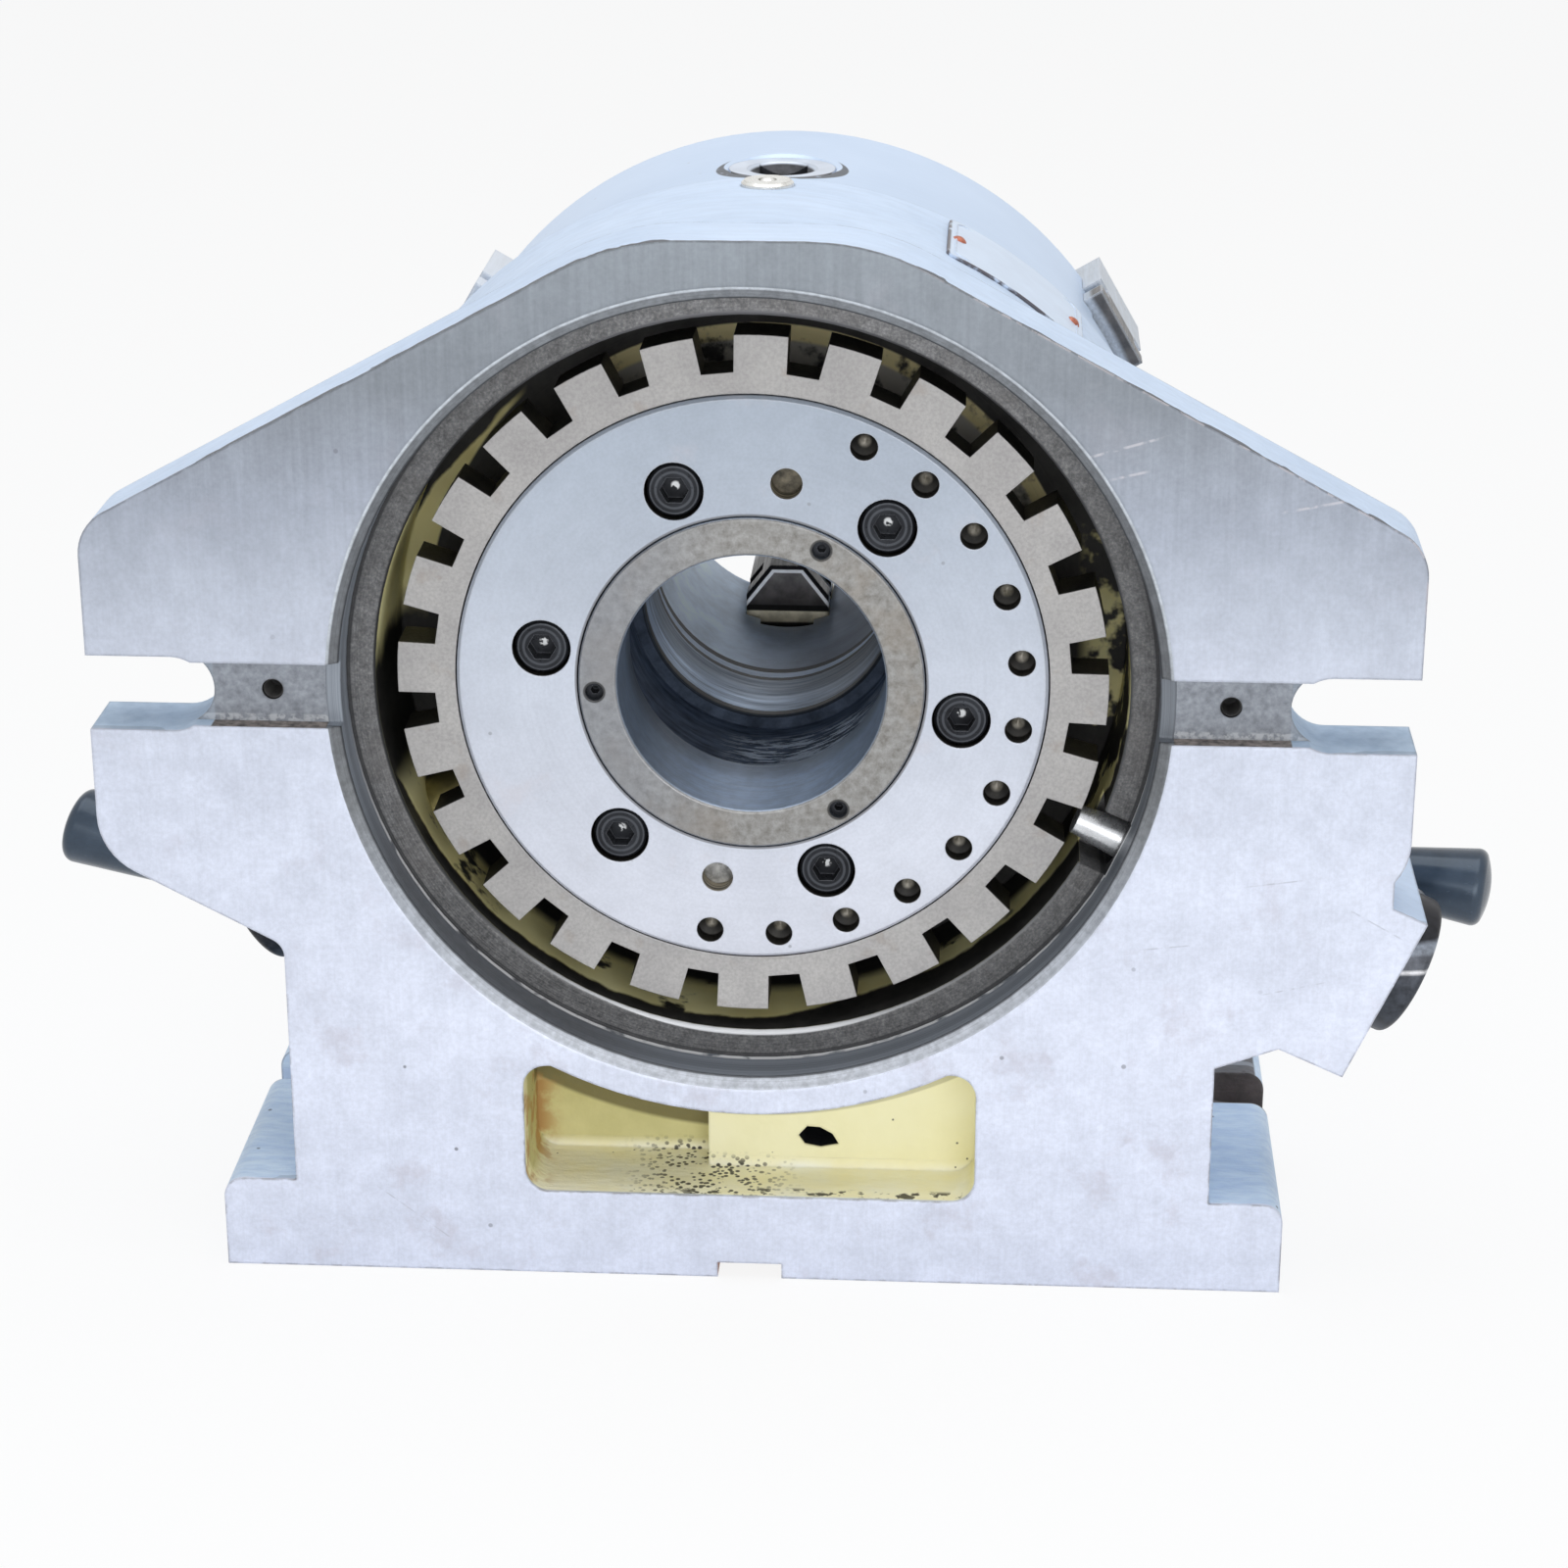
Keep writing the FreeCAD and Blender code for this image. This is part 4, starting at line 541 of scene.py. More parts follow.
def turned_spindle():
    """Mottled grey end face with tan stains and a painted bluer tint on the left, and a dark blue-grey bore
    with rings: painted shade deeper in and on its sides, a band of scuffs and painted shade with painted
    glints, and streaks given painted light.
    """
    f = Finish("turned_spindle")
    soft, worn = f.edge(0.5)
    rings = f.lathe(0.5, 0.9)
    end = f.tone(f.noise(420, 6, rough=0.68), (0.30, (0.19, 0.18, 0.165)), (0.50, (0.295, 0.29, 0.28)),
                 (0.70, (0.39, 0.39, 0.385)))
    stain = f.rise(f.noise(55, 5, shift=(2, 2, 0)), 0.50, 0.66)
    end = f.mix(f.both(stain, 0.35), end, (0.27, 0.225, 0.175))
    # Painted reflection: the end face is given a bluer tint towards the left.
    end = f.mix(f.both(f.rise(f.x, 0.0, -36.0), 0.45), end, (0.25, 0.275, 0.325))
    # Painted shade: the front land darkens deeper into the bore and on its left and right sides.
    land = f.tone(f.rise(f.y, 14.0, 46.0), (0.0, (0.45, 0.56, 0.73)), (0.70, (0.475, 0.60, 0.79)),
                  (1.0, (0.24, 0.30, 0.39)))
    land = f.shade(land, f.both(f.rise(f.x, -8.0, -30.0, 1.0, 0.48), f.rise(f.x, 10.0, 30.0, 1.0, 0.62)))
    land = f.shade(land, f.rise(f.noise(260, 5, rough=0.65, shift=(5, 3, 1)), 0.32, 0.68, 0.88, 1.10))
    land = f.shade(land, f.rise(rings, 0.30, 0.70, 0.90, 1.10))
    # Painted shade and scuffs: the band beyond the land is dark, with painted glints, and darker on the
    # annulus at its far end.
    scuffs = f.noise(1, 5, stretch=(110, 420, 110), rough=0.7)
    scuffed_and_shaded = f.mottle(scuffs, (0.038, 0.054, 0.084), (0.17, 0.22, 0.315))
    glint = f.rise(f.noise(1, 5, stretch=(130, 620, 130), rough=0.7, shift=(3, 1, 0)), 0.47, 0.56)
    glint = f.both(glint, f.within(f.y, 54.0, 74.0, 5.0), f.within(f.x, -8.0, 26.0, 6.0))
    scuffed_and_shaded = f.mix(f.both(glint, 0.95), scuffed_and_shaded, (0.72, 0.80, 0.90))
    drawn = f.noise(1, 5, stretch=(40, 420, 40), rough=0.65)
    streaks = f.mottle(drawn, (0.17, 0.23, 0.32), (0.66, 0.80, 1.0))
    # Painted light: the streaked band is lighter on the left and darker towards its far end.
    streaks = f.shade(streaks, f.rise(f.x, 28.0, -18.0, 0.55, 1.1))
    streaks = f.shade(streaks, f.rise(f.y, 92.0, 105.0, 1.0, 0.48))
    scuffed_and_shaded = f.shade(scuffed_and_shaded, f.rise(f.y, 82.7, 82.9, 1.0, 0.62))
    bore = f.mix(f.rise(f.y, 45.2, 46.4), land, scuffed_and_shaded)
    bore = f.mix(f.both(f.rise(f.y, 82.9, 83.1), f.rise(f.r, 32.9, 32.6)), bore, streaks)
    lines = f.both(f.either(f.within(f.y, 82.9, 86.2), f.rise(f.y, 110.2, 110.6)), f.rise(f.r, 33.2, 32.9))
    bore = f.mix(lines, bore, (0.006, 0.007, 0.009))
    colour = f.mix(f.rise(f.y, 14.8, 14.4), bore, end)
    outside = f.rise(f.r, 45.0, 46.0)
    colour = f.mix(outside, colour, f.mottle(rings, (0.52, 0.61, 0.75), (0.62, 0.72, 0.87)))
    rim = f.both(worn, f.rise(f.y, 15.6, 15.2))
    colour = f.mix(f.both(rim, 0.8), colour, (0.58, 0.58, 0.60))
    grub_rim = f.rise(f.nearest(3, 37.9, 63.8), 2.9, 2.5)
    grub_rim = f.both(grub_rim, f.rise(f.r, 43.0, 42.0), f.rise(f.y, 26.0, 24.0))
    colour = f.mix(f.both(grub_rim, 0.85), colour, (0.03, 0.03, 0.03))
    rough_band = f.both(f.within(f.y, 46.0, 83.2), f.rise(f.r, 40.0, 38.0))
    rough = f.sum("ADD", f.rise(rings, 0.3, 0.7, 0.30, 0.45), f.both(rough_band, 0.3))
    return f.done(colour, rough, 0.5, f.bump(rings, 0.06, soft), Specular_IOR_Level=0.2)


def collar_shadow(f):
    """A painted shadow standing for the dark near side of a raised collar round the top key socket: a
    crescent between two circles.
    """
    outer = f.length(f.x, f.sum("SUBTRACT", f.y, 141.0))
    inner = f.length(f.x, f.sum("SUBTRACT", f.y, 144.6))
    return f.both(f.rise(outer, 17.6, 17.2), f.rise(inner, 15.4, 15.8), f.rise(f.up, 60.0, 80.0))


def chuck_steel():
    """Pale satin steel, turned, with fine rings round the body, a painted shadow in front of the top key
    socket, and a blue-grey bore in painted light, pale on the left and dark on the right.
    """
    f = Finish("chuck_steel")
    soft, worn = f.edge(0.6)
    rings = f.lathe(0.9, 1.3, 4.0)
    colour = f.mottle(f.noise(20, 4), (0.58, 0.70, 0.88), (0.63, 0.75, 0.93))
    colour = f.shade(colour, f.rise(rings, 0.30, 0.70, 0.95, 1.03))
    colour = f.mix(f.both(f.specks(80, 0.05), 0.5), colour, (0.38, 0.40, 0.44))
    colour = f.mix(f.both(worn, 0.5), colour, (0.74, 0.80, 0.90))
    # Painted shadow: a dark crescent in front of the top key socket.
    collar_near_shadow = f.both(collar_shadow(f), f.rise(f.noise(300, 4), 0.28, 0.40))
    colour = f.mix(f.both(collar_near_shadow, 0.92), colour, (0.022, 0.024, 0.03))
    seat = f.rise(f.nearest(3, 100.0, -90.0), 60.0, 59.0)
    seat = f.both(seat, f.rise(f.r, 99.2, 98.7), f.rise(f.r, 50.0, 60.0))
    colour = f.mix(f.both(seat, f.within(f.y, 124.0, 158.0), 0.9), colour, (0.05, 0.055, 0.065))
    bore = f.rise(f.r, 47.0, 45.0)
    # Painted light: the bore is pale blue on the left and dark on the right.
    bore_light_and_shade = f.tone(f.rise(f.x, -26.0, 28.0), (0.0, (0.72, 0.85, 1.0)), (0.35, (0.42, 0.51, 0.64)),
                       (0.60, (0.26, 0.315, 0.40)), (1.0, (0.21, 0.25, 0.32)))
    bore_light_and_shade = f.shade(bore_light_and_shade, f.rise(f.noise(70, 5, rough=0.65), 0.30, 0.70, 0.80, 1.15))
    pale_ring = f.mottle(f.noise(150, 4), (0.50, 0.60, 0.74), (0.62, 0.73, 0.88))
    bore_light_and_shade = f.mix(f.rise(f.y, 119.8, 119.4), bore_light_and_shade, pale_ring)
    lines = f.either(f.rise(f.y, 113.4, 113.1), f.within(f.y, 118.2, 121.4, 0.2))
    bore_light_and_shade = f.mix(lines, bore_light_and_shade, (0.006, 0.007, 0.009))
    colour = f.mix(f.both(bore, f.rise(f.y, 189.0, 188.0)), colour, bore_light_and_shade)
    return f.done(colour, f.rise(rings, 0.3, 0.7, 0.38, 0.50), 0.3, f.bump(rings, 0.04, soft))


def ground_steel(name, dark, light, rough, wear, scale=420, metal=0.8):
    """Bare steel with fine grinding lines along Y and lighter edges."""
    f = Finish(name)
    soft, worn = f.edge(0.4)
    lines = f.noise(1, 3, stretch=(scale * 3, scale * 0.15, scale * 3))
    colour = f.mottle(f.noise(scale * 0.2, 4), dark, light)
    colour = f.mix(f.rise(lines, 0.4, 0.8, 0.0, 0.35), colour, light)
    colour = f.mix(f.both(worn, 0.8), colour, wear)
    return f.done(colour, f.rise(lines, 0.3, 0.7, rough, rough + 0.12), metal, f.bump(lines, 0.02, soft))


def jaw_steel():
    """Hardened grey steel with bright ground edges, the left jaw paler as painted light, and the gripping tip
    dark with painted shade and outlined in painted highlights.
    """
    f = Finish("jaw_steel")
    soft, worn = f.edge(1.4)
    lines = f.noise(1, 3, stretch=(1200, 60, 1200))
    colour = f.mottle(f.noise(90, 4), (0.50, 0.545, 0.60), (0.57, 0.62, 0.69))
    colour = f.shade(colour, f.rise(lines, 0.30, 0.70, 0.88, 1.10))
    colour = f.mix(f.both(f.specks(70, 0.06), 0.5), colour, (0.24, 0.25, 0.28))
    outer_end = f.both(f.rise(f.r, 101.0, 103.0), f.within(f.y, 160.0, 176.0, 1.5), f.rise(f.x, 0.0, 10.0))
    stained = f.mottle(f.noise(160, 4), (0.030, 0.025, 0.021), (0.12, 0.10, 0.085))
    colour = f.mix(f.both(outer_end, 0.88), colour, stained)
    # Painted light: the jaw on the left is made paler.
    colour = f.mix(f.both(f.rise(f.x, -20.0, -60.0), 0.6), colour, (0.80, 0.84, 0.90))
    colour = f.mix(f.both(worn, 0.8), colour, (0.80, 0.85, 0.93))
    # Painted shade and highlights: the tip is dark, with a tan strip and pale painted highlight lines along
    # its edges.
    tip_r, side = f.spoke(3, -90.0)
    painted_shading = f.tone(f.rise(tip_r, 17.0, 34.5), (0.0, (0.20, 0.19, 0.19)), (0.42, (0.10, 0.092, 0.092)),
                   (0.71, (0.045, 0.042, 0.042)), (0.74, (0.006, 0.006, 0.006)),
                   (0.84, (0.006, 0.006, 0.006)), (0.86, (0.54, 0.50, 0.38)),
                   (0.985, (0.42, 0.39, 0.30)), (0.995, (0.02, 0.02, 0.02)))
    painted_shading = f.shade(painted_shading, f.rise(f.noise(240, 4), 0.30, 0.70, 0.72, 1.25))
    from_flat = f.sum("SUBTRACT", tip_r, JAW_TIP_R)
    slope = f.sum("MULTIPLY_ADD", side, -JAW_TIP_SLOPE, f.sum("ADD", from_flat, JAW_TIP_HALF * JAW_TIP_SLOPE))
    inset = f.sum("MINIMUM", from_flat, f.both(slope, 1.0 / math.hypot(1.0, JAW_TIP_SLOPE)))
    painted_shading = f.mix(f.rise(inset, 2.2, 1.95), painted_shading, (0.95, 0.97, 1.0))
    painted_shading = f.mix(f.rise(inset, 1.25, 1.0), painted_shading, (0.008, 0.008, 0.010))
    far_rim_highlight = f.both(f.rise(inset, 0.45, 0.25), f.within(f.y, 159.4, 162.0, 0.15))
    painted_shading = f.mix(far_rim_highlight, painted_shading, (0.95, 0.97, 1.0))
    colour = f.mix(f.both(f.rise(f.r, 40.0, 36.0), f.rise(f.y, 206.0, 190.0)), colour, painted_shading)
    rough = f.rise(lines, 0.3, 0.7, 0.32, 0.46)
    return f.done(colour, rough, 0.5, f.bump(lines, 0.02, soft), Specular_IOR_Level=0.15)


def key_pinion():
    """Chuck key pinion: a bright faced end round a socket in black painted shade, with a painted shadow in
    front.
    """
    f = Finish("key_pinion")
    soft, worn = f.edge(0.5)
    cloud = f.noise(160, 5)
    end = f.mottle(cloud, (0.56, 0.62, 0.72), (0.70, 0.76, 0.86))
    # Painted shade: the socket is near black; the crescent in front is a painted shadow.
    socket_shade = f.mottle(f.noise(300, 3), (0.010, 0.011, 0.014), (0.055, 0.057, 0.068))
    colour = f.mix(f.rise(f.r, 98.4, 99.0), socket_shade, end)
    colour = f.mix(f.both(collar_shadow(f), 0.92), colour, (0.022, 0.024, 0.03))
    colour = f.mix(f.both(worn, 0.6), colour, (0.22, 0.23, 0.25))
    return f.done(colour, f.rise(cloud, 0.3, 0.7, 0.32, 0.46), 0.4, f.bump(f.noise(700, 2), 0.02, soft))


def oil_cup_steel():
    """Bright plated cup and ball with brown oil round the rim."""
    f = Finish("oil_cup_steel")
    soft, worn = f.edge(0.5)
    cloud = f.noise(260, 4)
    colour = f.mottle(cloud, (0.60, 0.59, 0.55), (0.82, 0.82, 0.80))
    colour = f.mix(f.both(worn, 0.8), colour, (0.13, 0.10, 0.07))
    colour = f.mix(f.rise(f.r, 107.4, 106.9), colour, (0.10, 0.08, 0.06))
    return f.done(colour, f.rise(cloud, 0.3, 0.7, 0.22, 0.36), 0.7, f.bump(cloud, 0.02, soft))


def black_oxide():
    """Blackened steel with a faint oily sheen, painted highlight rings and a painted glint on the screw
    heads, and grey worn edges.
    """
    f = Finish("black_oxide")
    soft, worn = f.edge(0.35)
    grain = f.noise(700, 3)
    colour = f.mottle(f.noise(110, 4), (0.012, 0.013, 0.016), (0.034, 0.037, 0.044))
    away = f.nearest(6, 51.1, -9.2)
    # Painted highlight: pale rings on the screw heads.
    ring = f.either(f.within(away, 4.1, 4.7, 0.15), f.within(away, 5.5, 5.9, 0.12))
    colour = f.mix(f.both(ring, f.rise(f.y, 24.0, 23.0), 0.45), colour, (0.13, 0.14, 0.16))
    colour = f.mix(f.both(worn, 0.6), colour, (0.24, 0.255, 0.28))
    # Painted glint in each screw socket.
    glint = f.both(f.rise(away, 1.3, 0.7), f.rise(f.noise(700, 2, shift=(0, 0, 0.4)), 0.46, 0.53))
    colour = f.mix(f.both(glint, 0.9), colour, (0.84, 0.86, 0.88))
    rough = f.rise(grain, 0.3, 0.7, 0.26, 0.42)
    return f.done(colour, rough, 0.5, f.bump(grain, 0.02, soft), Specular_IOR_Level=0.2)


def dowel_end():
    """A drawn steel dowel, dull with tan oil on its sunk end, and lighter grey below the spindle as painted
    light.
    """
    f = Finish("dowel_end")
    soft, worn = f.edge(0.4)
    cloud = f.noise(420, 4)
    colour = f.mottle(cloud, (0.022, 0.020, 0.016), (0.17, 0.15, 0.11))
    # Painted light: the dowel below the spindle is made lighter grey than the one above.
    colour = f.mix(f.rise(f.up, 0.0, -20.0), colour, f.mottle(cloud, (0.09, 0.09, 0.09), (0.46, 0.46, 0.45)))
    colour = f.mix(f.both(worn, 0.5), colour, (0.42, 0.38, 0.30))
    return f.done(colour, f.rise(cloud, 0.3, 0.7, 0.30, 0.45), 0.6, f.bump(cloud, 0.02, soft))


def blackened_hub():
    """Dark turned steel with lighter rubbed patches; on the right hub, stripes of painted light and shade by
    height with one bright painted highlight line.
    """
    f = Finish("blackened_hub")
    soft, worn = f.edge(0.6)
    rub = f.noise(420, 5, rough=0.65)
    # Painted light and shade: stripes by height on the right hub, with one bright highlight line.
    painted_light_bands = f.tone(f.rise(f.z, 67.0, 103.0), (0.0, (0.042, 0.048, 0.060)), (0.485, (0.056, 0.062, 0.076)),
                   (0.52, (0.60, 0.60, 0.62)), (0.55, (0.085, 0.092, 0.108)), (0.66, (0.11, 0.117, 0.137)),
                   (0.69, (0.26, 0.285, 0.33)), (0.75, (0.225, 0.25, 0.295)), (0.79, (0.018, 0.018, 0.022)))
    colour = f.mix(f.rise(f.x, -1.0, 1.0), f.mottle(rub, (0.010, 0.011, 0.014), (0.030, 0.032, 0.038)), painted_light_bands)
    colour = f.shade(colour, f.rise(rub, 0.30, 0.70, 0.65, 1.35))
    colour = f.mix(f.both(worn, 0.3), colour, (0.30, 0.31, 0.34))
    return f.done(colour, f.rise(rub, 0.3, 0.7, 0.34, 0.5), 0.6, f.bump(f.noise(800, 2), 0.02, soft))


def knob_plastic():
    """Blue-black moulded plastic, faintly dusty and scratched."""
    f = Finish("knob_plastic")
    dust = f.noise(90, 5)
    hairline = f.noise(1, 3, stretch=(150, 900, 900))
    colour = f.mottle(dust, (0.022, 0.033, 0.050), (0.045, 0.063, 0.090))
    rough = f.sum("ADD", f.rise(dust, 0.35, 0.70, 0.17, 0.27), f.rise(hairline, 0.62, 0.74, 0.0, 0.10))
    return f.done(colour, rough, 0.0, f.bump(f.noise(500, 3), 0.02), Specular_Tint=(0.75, 0.87, 1.0, 1.0))


def bronze(name, dark, light):
    """Turned bearing bronze with darker oil stains."""
    f = Finish(name)
    rings = f.lathe(0.9, 0.9)
    colour = f.mottle(f.noise(70, 4), dark, light)
    return f.done(colour, f.rise(rings, 0.3, 0.7, 0.28, 0.42), 0.9, f.bump(rings, 0.03))


def bare_plate():
    """Pale satin plate, slightly stained, with dark dirt along its near and left edges."""
    f = Finish("bare_plate")
    soft, worn = f.edge(0.6)
    cloud = f.noise(110, 4)
    colour = f.mottle(cloud, (0.62, 0.72, 0.87), (0.70, 0.80, 0.94))
    near_edge = f.rise(f.y, 47.7, 47.2)
    left_edge = f.rise(f.sum("ARCTAN2", f.up, f.x), math.radians(65.0), math.radians(65.3))
    dirt = f.both(f.either(near_edge, left_edge, f.both(worn, 0.5)), f.rise(f.noise(190, 4), 0.34, 0.48))
    colour = f.mix(f.both(dirt, 0.9), colour, (0.075, 0.05, 0.045))
    return f.done(colour, f.rise(cloud, 0.3, 0.7, 0.36, 0.48), 0.2, f.bump(f.noise(900, 2), 0.02, soft))


def red_rivet():
    """Copper rivet with a dull red face."""
    f = Finish("red_rivet")
    cloud = f.noise(900, 3)
    colour = f.mottle(cloud, (0.30, 0.07, 0.04), (0.55, 0.20, 0.12))
    return f.done(colour, f.rise(cloud, 0.3, 0.7, 0.35, 0.5), 0.4, f.bump(cloud, 0.03))


PLATE = bare_plate()
HOLE_THREAD = ground_steel("thread_iron", (0.05, 0.05, 0.052), (0.16, 0.155, 0.15), 0.40, (0.34, 0.33, 0.32),
                           metal=0.5)
PLAIN_STEEL = ground_steel("plain_steel", (0.36, 0.37, 0.39), (0.56, 0.57, 0.60), 0.34, (0.70, 0.71, 0.73))
FINISHES = (
    (painted_casting(), ("casting",)),
    (ground_disc(), ("index_disc",)),
    (milled_ring(), ("index_ring",)),
    (turned_spindle(), ("spindle",)),
    (chuck_steel(), ("chuck_body",)),
    (jaw_steel(), ("jaw_1", "jaw_2", "jaw_3")),
    (key_pinion(), ("pinion_1", "pinion_2", "pinion_3")),
    (oil_cup_steel(), ("oil_cup", "oil_ball")),
    (ground_steel("plunger_steel", (0.50, 0.51, 0.53), (0.76, 0.78, 0.81), 0.24, (0.86, 0.87, 0.88)),
     ("plunger", "lever_arm", "clamp_arm")),
    (PLAIN_STEEL, ("index_hub", "chuck_cover", "thrust_washer", "pinion_screws", "plunger_bush", "scroll")),
    (black_oxide(), ("disc_screws", "spindle_screws", "chuck_bolts")),
    (dowel_end(), ("disc_dowels",)),
    (blackened_hub(), ("lever_hub", "clamp_hub")),
    (knob_plastic(), ("lever_knob", "clamp_knob")),
    (bronze("bush_bronze", (0.33, 0.20, 0.08), (0.58, 0.40, 0.18)), ("rear_bush", "front_bush")),
    (bronze("oiled_bronze", (0.16, 0.14, 0.06), (0.52, 0.46, 0.22)), ("clamp_pad",)),
    (PLATE, ("nameplate",)),
    (red_rivet(), ("nameplate_rivets",)),
)
for material, names in FINISHES:
    for name in names:
        NODES[name].data.materials.clear()
        NODES[name].data.materials.append(material)


def grid_piece(name, points, material, body, closed=(False, False)):
    """A mesh from a grid of points, one row after another, closed round where asked, riding on a body."""
    rows, columns = points.shape[:2]
    k = np.arange(rows * columns).reshape(rows, columns)
    for axis in (0, 1):
        if closed[axis]:
            k = np.concatenate([k, k.take([0], axis=axis)], axis=axis)
    quads = np.stack([k[:-1, :-1], k[1:, :-1], k[1:, 1:], k[:-1, 1:]], axis=-1).reshape(-1, 4)
    mesh = bpy.data.meshes.new(name)
    mesh.from_pydata((points.reshape(-1, 3) * MM).tolist(), [], quads.tolist())
    mesh.polygons.foreach_set("use_smooth", np.ones(len(quads), dtype=bool))
    mesh.materials.append(material)
    piece = bpy.data.objects.new(name, mesh)
    bpy.context.scene.collection.objects.link(piece)
    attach(piece, body)
    return piece


def plate_bead(name, angles, depths, corner, base_r, bead_r):
    """A raised bead round the plate: a small circle carried along a rounded rectangle.

    The rectangle is wrapped on the drum and runs in arc length and depth. Each corner is a quarter circle,
    and the path point is turned about the spindle by its arc length over the drum's radius. The circle is set
    out along the radius and along the path's own side direction.
    """
    half = math.radians(angles[1] - angles[0]) * base_r / 2
    deep = (depths[1] - depths[0]) / 2
    quarter = np.linspace(0.0, math.pi / 2, 9)
    turns = (quarter[None, :] + (np.arange(4) * math.pi / 2)[:, None]).ravel()
    corner_u = np.repeat(np.array([1, -1, -1, 1]) * (half - corner), quarter.size)
    corner_v = np.repeat(np.array([1, 1, -1, -1]) * (deep - corner), quarter.size)
    round_u, round_v = np.cos(turns)[:, None], np.sin(turns)[:, None]
    section = np.linspace(0.0, 2 * math.pi, 10, endpoint=False)[None, :]
    reach = corner + bead_r * np.cos(section)
    u, v = corner_u[:, None] + reach * round_u, corner_v[:, None] + reach * round_v
    angle = math.radians((angles[0] + angles[1]) / 2) + u / base_r
    radius = base_r + bead_r * np.sin(section)
    depth = (depths[0] + depths[1]) / 2 + v
    points = np.stack([radius * np.cos(angle), np.broadcast_to(depth, angle.shape),
                       SPINDLE_Z + radius * np.sin(angle)], axis=-1)
    return grid_piece(name, points, PLATE, "frame", (True, True))


def hole_thread(name, x, z, hole_r, y_from, y_to, pitch, tooth, body):
    """A cut thread that lines a hole: a tube about a line along Y whose radius goes in and out like a helix.

    The radius is the hole's less the tooth times a rounded saw of depth over pitch plus turn over a full
    circle. The grid runs down the hole and round it, so that its faces look inwards at the hole's axis.
    """
    depth = np.linspace(y_from, y_to, int((y_to - y_from) / pitch * 8) + 1)[:, None]
    turn = np.linspace(0.0, 2 * math.pi, 36, endpoint=False)[None, :]
    saw = 0.5 + 0.5 * np.cos(2 * math.pi * depth / pitch + turn)
    radius = hole_r - tooth * saw
    points = np.stack([x + radius * np.cos(turn), np.broadcast_to(depth, radius.shape),
                       z + radius * np.sin(turn)], axis=-1)
    return grid_piece(name, points, HOLE_THREAD, body, (False, True))


plate_bead("plate_bead", angles=(45.1, 64.4), depths=(49.0, 83.0), corner=2.6, base_r=108.3, bead_r=0.28)
for side, x in (("left", -KEY_HOLE_X), ("right", KEY_HOLE_X)):
    hole_thread(f"key_hole_thread_{side}", x, SPINDLE_Z, KEY_HOLE_R, y_from=5.4, y_to=13.8, pitch=1.0,
                tooth=0.42, body="frame")


def ray_share(tree):
    """One for rays from the camera, or seen in gloss or glass, and nothing for light on the object."""
    path = tree.nodes.new("ShaderNodeLightPath")
    share = path.outputs["Is Camera Ray"]
    for name in ("Is Glossy Ray", "Is Transmission Ray"):
        node = tree.nodes.new("ShaderNodeMath")
        node.operation = "MAXIMUM"
        tree.links.new(share, node.inputs[0])
        tree.links.new(path.outputs[name], node.inputs[1])
        share = node.outputs[0]
    return share


def pale_floor(size, hold):
    """A level white floor just under the foot, a flat grid that shows white and keeps part of the shadow."""
    side = np.linspace(-size, size, 3)
    gx, gy = np.meshgrid(side, side, indexing="ij")
    under_foot = -0.2 * MM
    points = np.stack([gx, gy, np.full_like(gx, under_foot)], axis=-1).reshape(-1, 3)
    k = np.arange(9).reshape(3, 3)
    quads = np.stack([k[:-1, :-1], k[1:, :-1], k[1:, 1:], k[:-1, 1:]], axis=-1).reshape(-1, 4)
    mesh = bpy.data.meshes.new("floor")
    mesh.from_pydata(points.tolist(), [], quads.tolist())
    floor = bpy.data.objects.new("floor", mesh)
    bpy.context.scene.collection.objects.link(floor)
    material = bpy.data.materials.new("floor_white")
    material.use_nodes = True
    tree = material.node_tree
    tree.nodes.clear()
    out = tree.nodes.new("ShaderNodeOutputMaterial")
    matt = tree.nodes.new("ShaderNodeBsdfDiffuse")
    matt.inputs["Color"].default_value = (0.93, 0.95, 0.97, 1)
    glow = tree.nodes.new("ShaderNodeEmission")
    glow.inputs["Color"].default_value = (1, 1, 1, 1)
    glow.inputs["Strength"].default_value = 1.0
    part = tree.nodes.new("ShaderNodeMath")
    part.operation = "MULTIPLY"
    tree.links.new(ray_share(tree), part.inputs[0])
    part.inputs[1].default_value = 1.0 - hold
    blend = tree.nodes.new("ShaderNodeMixShader")
    tree.links.new(part.outputs[0], blend.inputs[0])
    tree.links.new(matt.outputs[0], blend.inputs[1])
    tree.links.new(glow.outputs[0], blend.inputs[2])
    tree.links.new(blend.outputs[0], out.inputs["Surface"])
    mesh.materials.append(material)


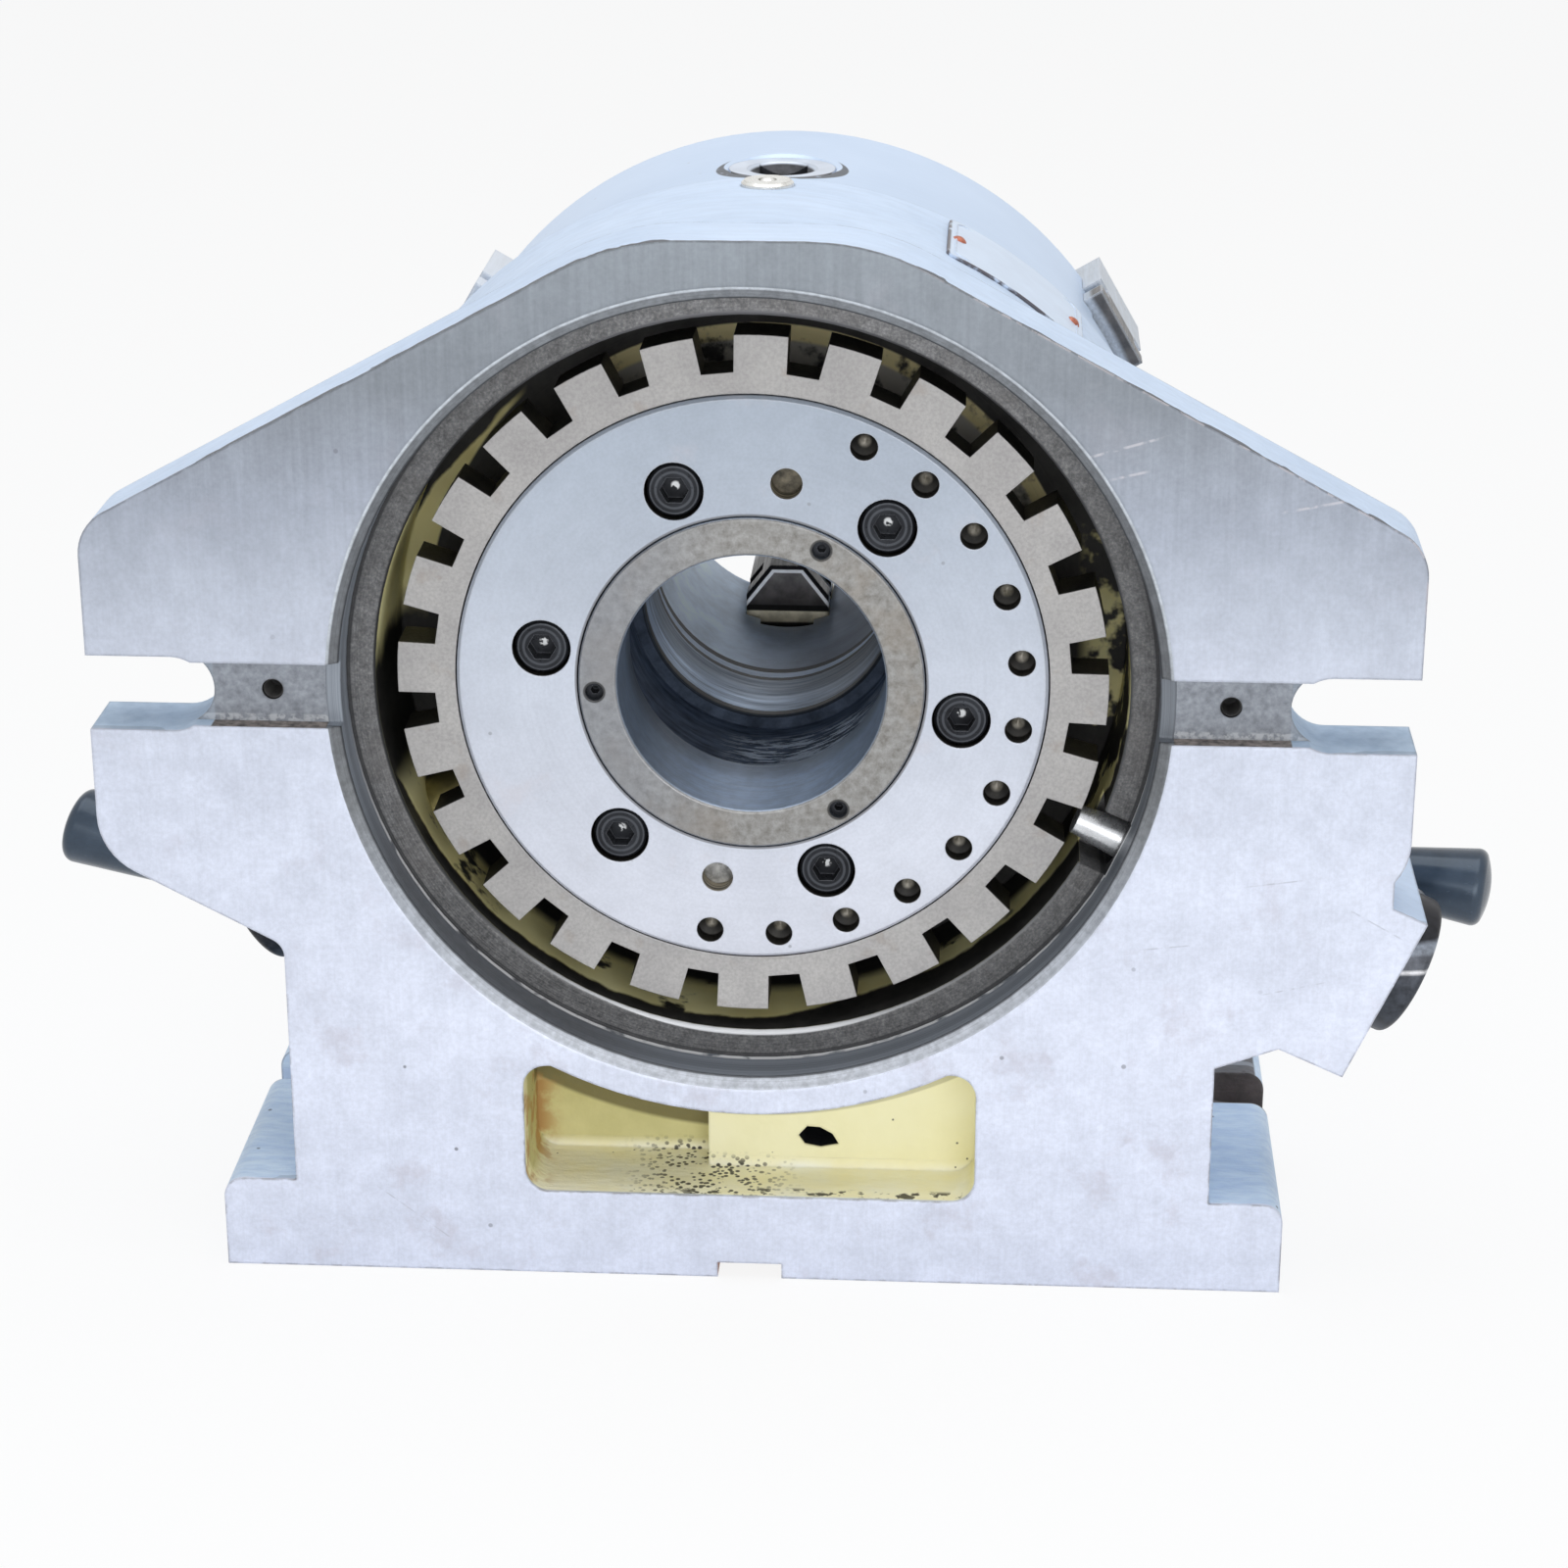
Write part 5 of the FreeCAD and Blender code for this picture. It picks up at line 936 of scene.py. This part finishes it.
def white_world(light, tint):
    """A world that is white to the camera and in gloss, and lights the object at a plain level."""
    world = bpy.data.worlds.new("studio")
    world.use_nodes = True
    bpy.context.scene.world = world
    tree = world.node_tree
    tree.nodes.clear()
    out = tree.nodes.new("ShaderNodeOutputWorld")
    lit = tree.nodes.new("ShaderNodeBackground")
    lit.inputs["Color"].default_value = (*tint, 1)
    lit.inputs["Strength"].default_value = light
    seen = tree.nodes.new("ShaderNodeBackground")
    seen.inputs["Color"].default_value = (1, 1, 1, 1)
    seen.inputs["Strength"].default_value = 1.0
    blend = tree.nodes.new("ShaderNodeMixShader")
    tree.links.new(ray_share(tree), blend.inputs[0])
    tree.links.new(lit.outputs[0], blend.inputs[1])
    tree.links.new(seen.outputs[0], blend.inputs[2])
    tree.links.new(blend.outputs[0], out.inputs["Surface"])


def softbox(name, place, target, width, height, power):
    """A rectangular lamp at a place, turned to face a target."""
    data = bpy.data.lights.new(name, "AREA")
    data.shape = "RECTANGLE"
    data.size = width
    data.size_y = height
    data.energy = power
    lamp = bpy.data.objects.new(name, data)
    bpy.context.scene.collection.objects.link(lamp)
    lamp.location = place
    lamp.rotation_euler = (Vector(target) - Vector(place)).to_track_quat("-Z", "Y").to_euler()


pale_floor(size=4.0, hold=0.12)
white_world(light=0.45, tint=(0.96, 0.98, 1.0))
softbox("top_box", place=(0.0, 0.05, 1.25), target=(0.0, 0.08, 0.1), width=1.2, height=1.0, power=6.9)
softbox("front_box", place=(0.15, -1.1, 0.35), target=(0.0, 0.0, 0.08), width=1.0, height=0.5, power=5.0)

camera_data = bpy.data.cameras.new("camera")
camera_data.sensor_width = 36.0
camera_data.lens = 84.28
camera = bpy.data.objects.new("camera", camera_data)
bpy.context.scene.collection.objects.link(camera)
camera.location = (0.05751, -0.81409, 0.4443)
look_down, roll, look_left = math.radians(20.91), math.radians(0.041), math.radians(3.413)
camera.rotation_euler = (math.pi / 2 - look_down, roll, look_left)
bpy.context.scene.camera = camera

bpy.context.scene.view_settings.view_transform = "Standard"
